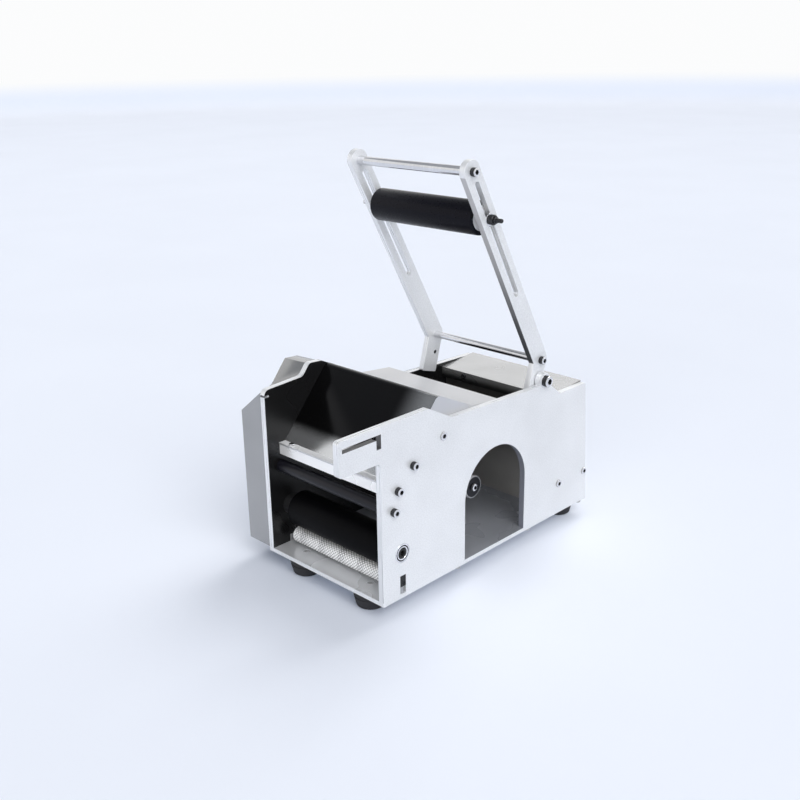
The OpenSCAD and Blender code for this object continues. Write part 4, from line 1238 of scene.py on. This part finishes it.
@dataclass
class PressRoller:
    """Press roller with its threaded axle, spacers, bushes, washers and clamp nuts."""

    thread_pitch: float = 0.8 * MM
    thread_depth: float = 0.25 * MM
    stud: float = 2.0 * MM
    stud_tip: float = 0.5 * MM
    thread_steps: int = 5
    thread_columns: int = 32
    tube_edge: float = 0.3 * MM
    rubber_edge: float = 1.0 * MM
    washer_edge: float = 0.2 * MM
    nut_ridges: int = 24
    ridge_points: int = 4
    nut_ridge_depth: float = 0.3 * MM
    nut_seat: float = 0.4 * MM
    nut_edge: float = 0.5 * MM
    nut_shoulder: float = 0.6 * MM
    collar_step: float = 1.5 * MM
    collar_length: float = 2.0 * MM
    collar_edge: float = 0.3 * MM

    def build(self) -> None:
        """Build and dress the press roller."""
        self._axle()
        Builder.tubes("press_spacers", self.tube_edge, BRIGHT)
        Builder.tubes("press_core", self.tube_edge, EDGE)
        Builder.tubes("press_rubber", self.rubber_edge, RUBBER)
        Builder.tubes("press_bushes", self.tube_edge, BRONZE)
        Builder.tubes("clamp_washers", self.washer_edge, BRIGHT)
        for node, side in (("clamp_nut_right", 1.0), ("clamp_nut_left", -1.0)):
            self._nut(node, side)

    def _axle(self) -> None:
        """Axle with a threaded stud at each end.

        On the studs the radius falls by a triangle wave of place less turn, which is a helix. The left
        stud is bright, and the rest is blackened.
        """
        solid = solids("press_axle")[0]
        low, high = float(solid.low[0]), float(solid.high[0])
        start, stop = solid.widest
        columns, tip = self.thread_columns, self.stud_tip
        count = int((start - low) / self.thread_pitch) * self.thread_steps + 1
        x = np.concatenate([np.linspace(low + tip, start, count), np.linspace(stop, high - tip, count)])
        turn = np.linspace(0, 1, columns, endpoint=False)[None, :]
        thread = self.stud - self.thread_depth * triangle_wave(x[:, None] / self.thread_pitch - turn)
        threaded = list(zip(x, thread))
        end, radius = self.stud - tip, solid.radius
        rows = [
            (low, 0.0), (low, end), *threaded[:count], (start, radius),
            (stop, radius), *threaded[count:], (high, end), (high, 0.0),
        ]
        numbers = np.zeros(len(rows) - 1, int)
        numbers[: count + 2] = 1
        surface = turned(rows, solid.line, columns=columns, row_finish=numbers)
        Builder.piece([surface], "press_axle", [BOLT, BRIGHT])

    def _nut(self, node: str, side: float) -> None:
        """Clamp nut with a ridged rim and a turned collar.

        Args:
            node: Name of the CAD node.
            side: 1 on the right arm plate, -1 on the left.
        """
        solid = solids(node)[0]
        length, radius = solid.size[0], solid.radius
        columns = self.nut_ridges * self.ridge_points
        turn = np.linspace(0, self.nut_ridges, columns, endpoint=False)
        rim = radius - self.nut_ridge_depth * triangle_wave(turn)
        edge, bevel = self.nut_edge, self.collar_edge
        bore, collar, body = solid.bore, radius - self.collar_step, length - self.collar_length
        rows = [
            (0.0, bore), (0.0, radius - edge), (self.nut_seat, rim), (body - edge, rim),
            (body, radius - self.nut_shoulder), (body, collar), (length - bevel, collar),
            (length, collar - bevel), (length, bore),
        ]
        start = solid.low[0] if side > 0 else solid.high[0]
        foot = np.array([start, *solid.middle[1:]])
        surface = turned(rows, foot, (side, 0.0, 0.0), columns, closed=True)
        Builder.piece([surface], node, [BOLT])


@dataclass(frozen=True)
class Lamp:
    """Soft far lamp: where it shines from, the angle that it fills and its strength."""

    name: str
    place: tuple[float, float, float]
    angle: float
    strength: float

    def hang(self) -> None:
        """Put the lamp into the scene."""
        data = bpy.data.lights.new(self.name, "SUN")
        data.angle = math.radians(self.angle)
        data.energy = self.strength
        lamp = bpy.data.objects.new(self.name, data)
        turn = (-Vector(self.place)).to_track_quat("-Z", "Y").to_matrix().to_4x4()
        lamp.matrix_world = Matrix.Translation(self.place) @ turn
        bpy.context.scene.collection.objects.link(lamp)


@dataclass
class Studio:
    """Camera, pale floor with its backdrop, and soft lights."""

    lens: float = 46.0
    sensor: float = 36.0
    clip: tuple[float, float] = (0.01, 100.0)
    eye: tuple[float, float, float] = (0.64018, -0.66183, 0.48321)
    right: tuple[float, float, float] = (0.71599585, 0.6979467, -0.01484402)
    up: tuple[float, float, float] = (-0.22707379, 0.2529477, 0.94045465)
    floor_colour: Colour = (0.73, 0.75, 0.8)
    floor_tint: Colour = (0.5, 0.66, 1.0)
    wall_tint: Colour = (0.99, 0.995, 1.0)
    floor_glow: float = 0.1
    wall_glow: float = 0.98
    floor_reach: float = 6.0
    floor_bend: float = 2.0
    floor_drop: float = 0.0002
    floor_columns: int = 64
    bend_rows: int = 16
    floor_cells: tuple[float, float, float] = (3.0, 3.0, 3.0)
    floor_swing: tuple[float, float] = (0.99, 1.01)
    floor_rough: float = 0.8
    wall_height: float = 6.0
    wall_rise: Fade = Fade("Z", 0.0, 0.2)
    sky_colour: Colour = (0.9, 0.94, 1.0)
    sky_strength: float = 0.45
    lamps: tuple[Lamp, ...] = (
        Lamp("key", (0.8, -0.25, 0.75), 45.0, 1.95),
        Lamp("top", (-0.1, 0.8, 1.0), 35.0, 1.45),
        Lamp("front", (0.35, -0.9, 0.3), 40.0, 1.5),
    )

    def build(self) -> None:
        """Set the camera, the floor, the lights and the view settings."""
        bpy.context.scene.view_settings.view_transform = "Standard"
        self._camera()
        self._floor()
        self._world()
        for lamp in self.lamps:
            lamp.hang()

    def _camera(self) -> None:
        """Camera that looks along the cross product of its up and right directions."""
        data = bpy.data.cameras.new("camera")
        data.lens = self.lens
        data.sensor_width = self.sensor
        data.clip_start, data.clip_end = self.clip
        camera = bpy.data.objects.new("camera", data)
        back = Vector(self.right).cross(Vector(self.up))
        turn = Matrix((self.right, self.up, back)).transposed().to_4x4()
        camera.matrix_world = Matrix.Translation(self.eye) @ turn
        bpy.context.scene.collection.objects.link(camera)
        bpy.context.scene.camera = camera

    def _floor(self) -> None:
        """Floor and backdrop in one sheet: flat, then a quarter circle, then upright, all round."""
        reach, bend = self.floor_reach, self.floor_bend
        sweep = np.linspace(0, TURN / 4, self.bend_rows)
        profile = [
            (0.0, 0.0), (0.0, reach / 2),
            *zip(bend - bend * np.cos(sweep), reach + bend * np.sin(sweep)),
            (self.wall_height, reach + bend),
        ]
        sheet = turned(profile, np.array([0.0, 0.0, -self.floor_drop]), Z_AXIS, self.floor_columns)
        mesh = bpy.data.meshes.new("floor")
        mesh.from_pydata(sheet.points.tolist(), [], sheet.faces.tolist())
        mesh.shade_smooth()
        mesh.materials.append(self._floor_material())
        floor = bpy.data.objects.new("floor", mesh)
        floor.visible_shadow = False
        bpy.context.scene.collection.objects.link(floor)

    def _floor_material(self) -> bpy.types.Material:
        """Matt floor that takes shadows, and a glow that only the camera and reflections see.

        The glow makes up for what the lamps leave, and on the upright part it takes over from them.

        Returns:
            The new material.
        """
        recipe = Recipe("floor")
        rise = recipe.step(self.wall_rise)
        colour = recipe.blend(rise, self.floor_colour, BLACK)
        recipe.tint(colour, recipe.spread(recipe.noise(self.floor_cells, BROAD_DETAIL), *self.floor_swing))
        level = recipe.node("MapRange", {"Value": rise, "To Min": self.floor_glow, "To Max": self.wall_glow})
        path = recipe.node("LightPath")
        seen = recipe.larger(path.outputs["Is Camera Ray"], path.outputs["Is Glossy Ray"])
        look = {
            "Roughness": self.floor_rough,
            "Specular IOR Level": 0.0,
            "Emission Color": recipe.blend(rise, self.floor_tint, self.wall_tint),
            "Emission Strength": recipe.product(level.outputs["Result"], seen),
        }
        recipe.feed(recipe.shader, look)
        return recipe.material

    def _world(self) -> None:
        """Dim even surround above the backdrop."""
        world = bpy.data.worlds.new("surround")
        world.use_nodes = True
        background = world.node_tree.nodes["Background"]
        background.inputs["Color"].default_value = (*self.sky_colour, 1.0)
        background.inputs["Strength"].default_value = self.sky_strength
        bpy.context.scene.world = world


def main() -> None:
    """Build the studio and every sub-assembly in order."""
    logging.basicConfig(level=logging.INFO, format="%(name)s: %(message)s")
    Studio().build()
    machine = (
        Chassis(), LabelPath(), RearHousing(), FeedTrain(), LabelSpindle(), PressArm(), PressRoller(),
    )
    for part in machine:
        part.build()
        LOG.info("%s done", type(part).__name__)


if __name__ == "__main__":
    main()
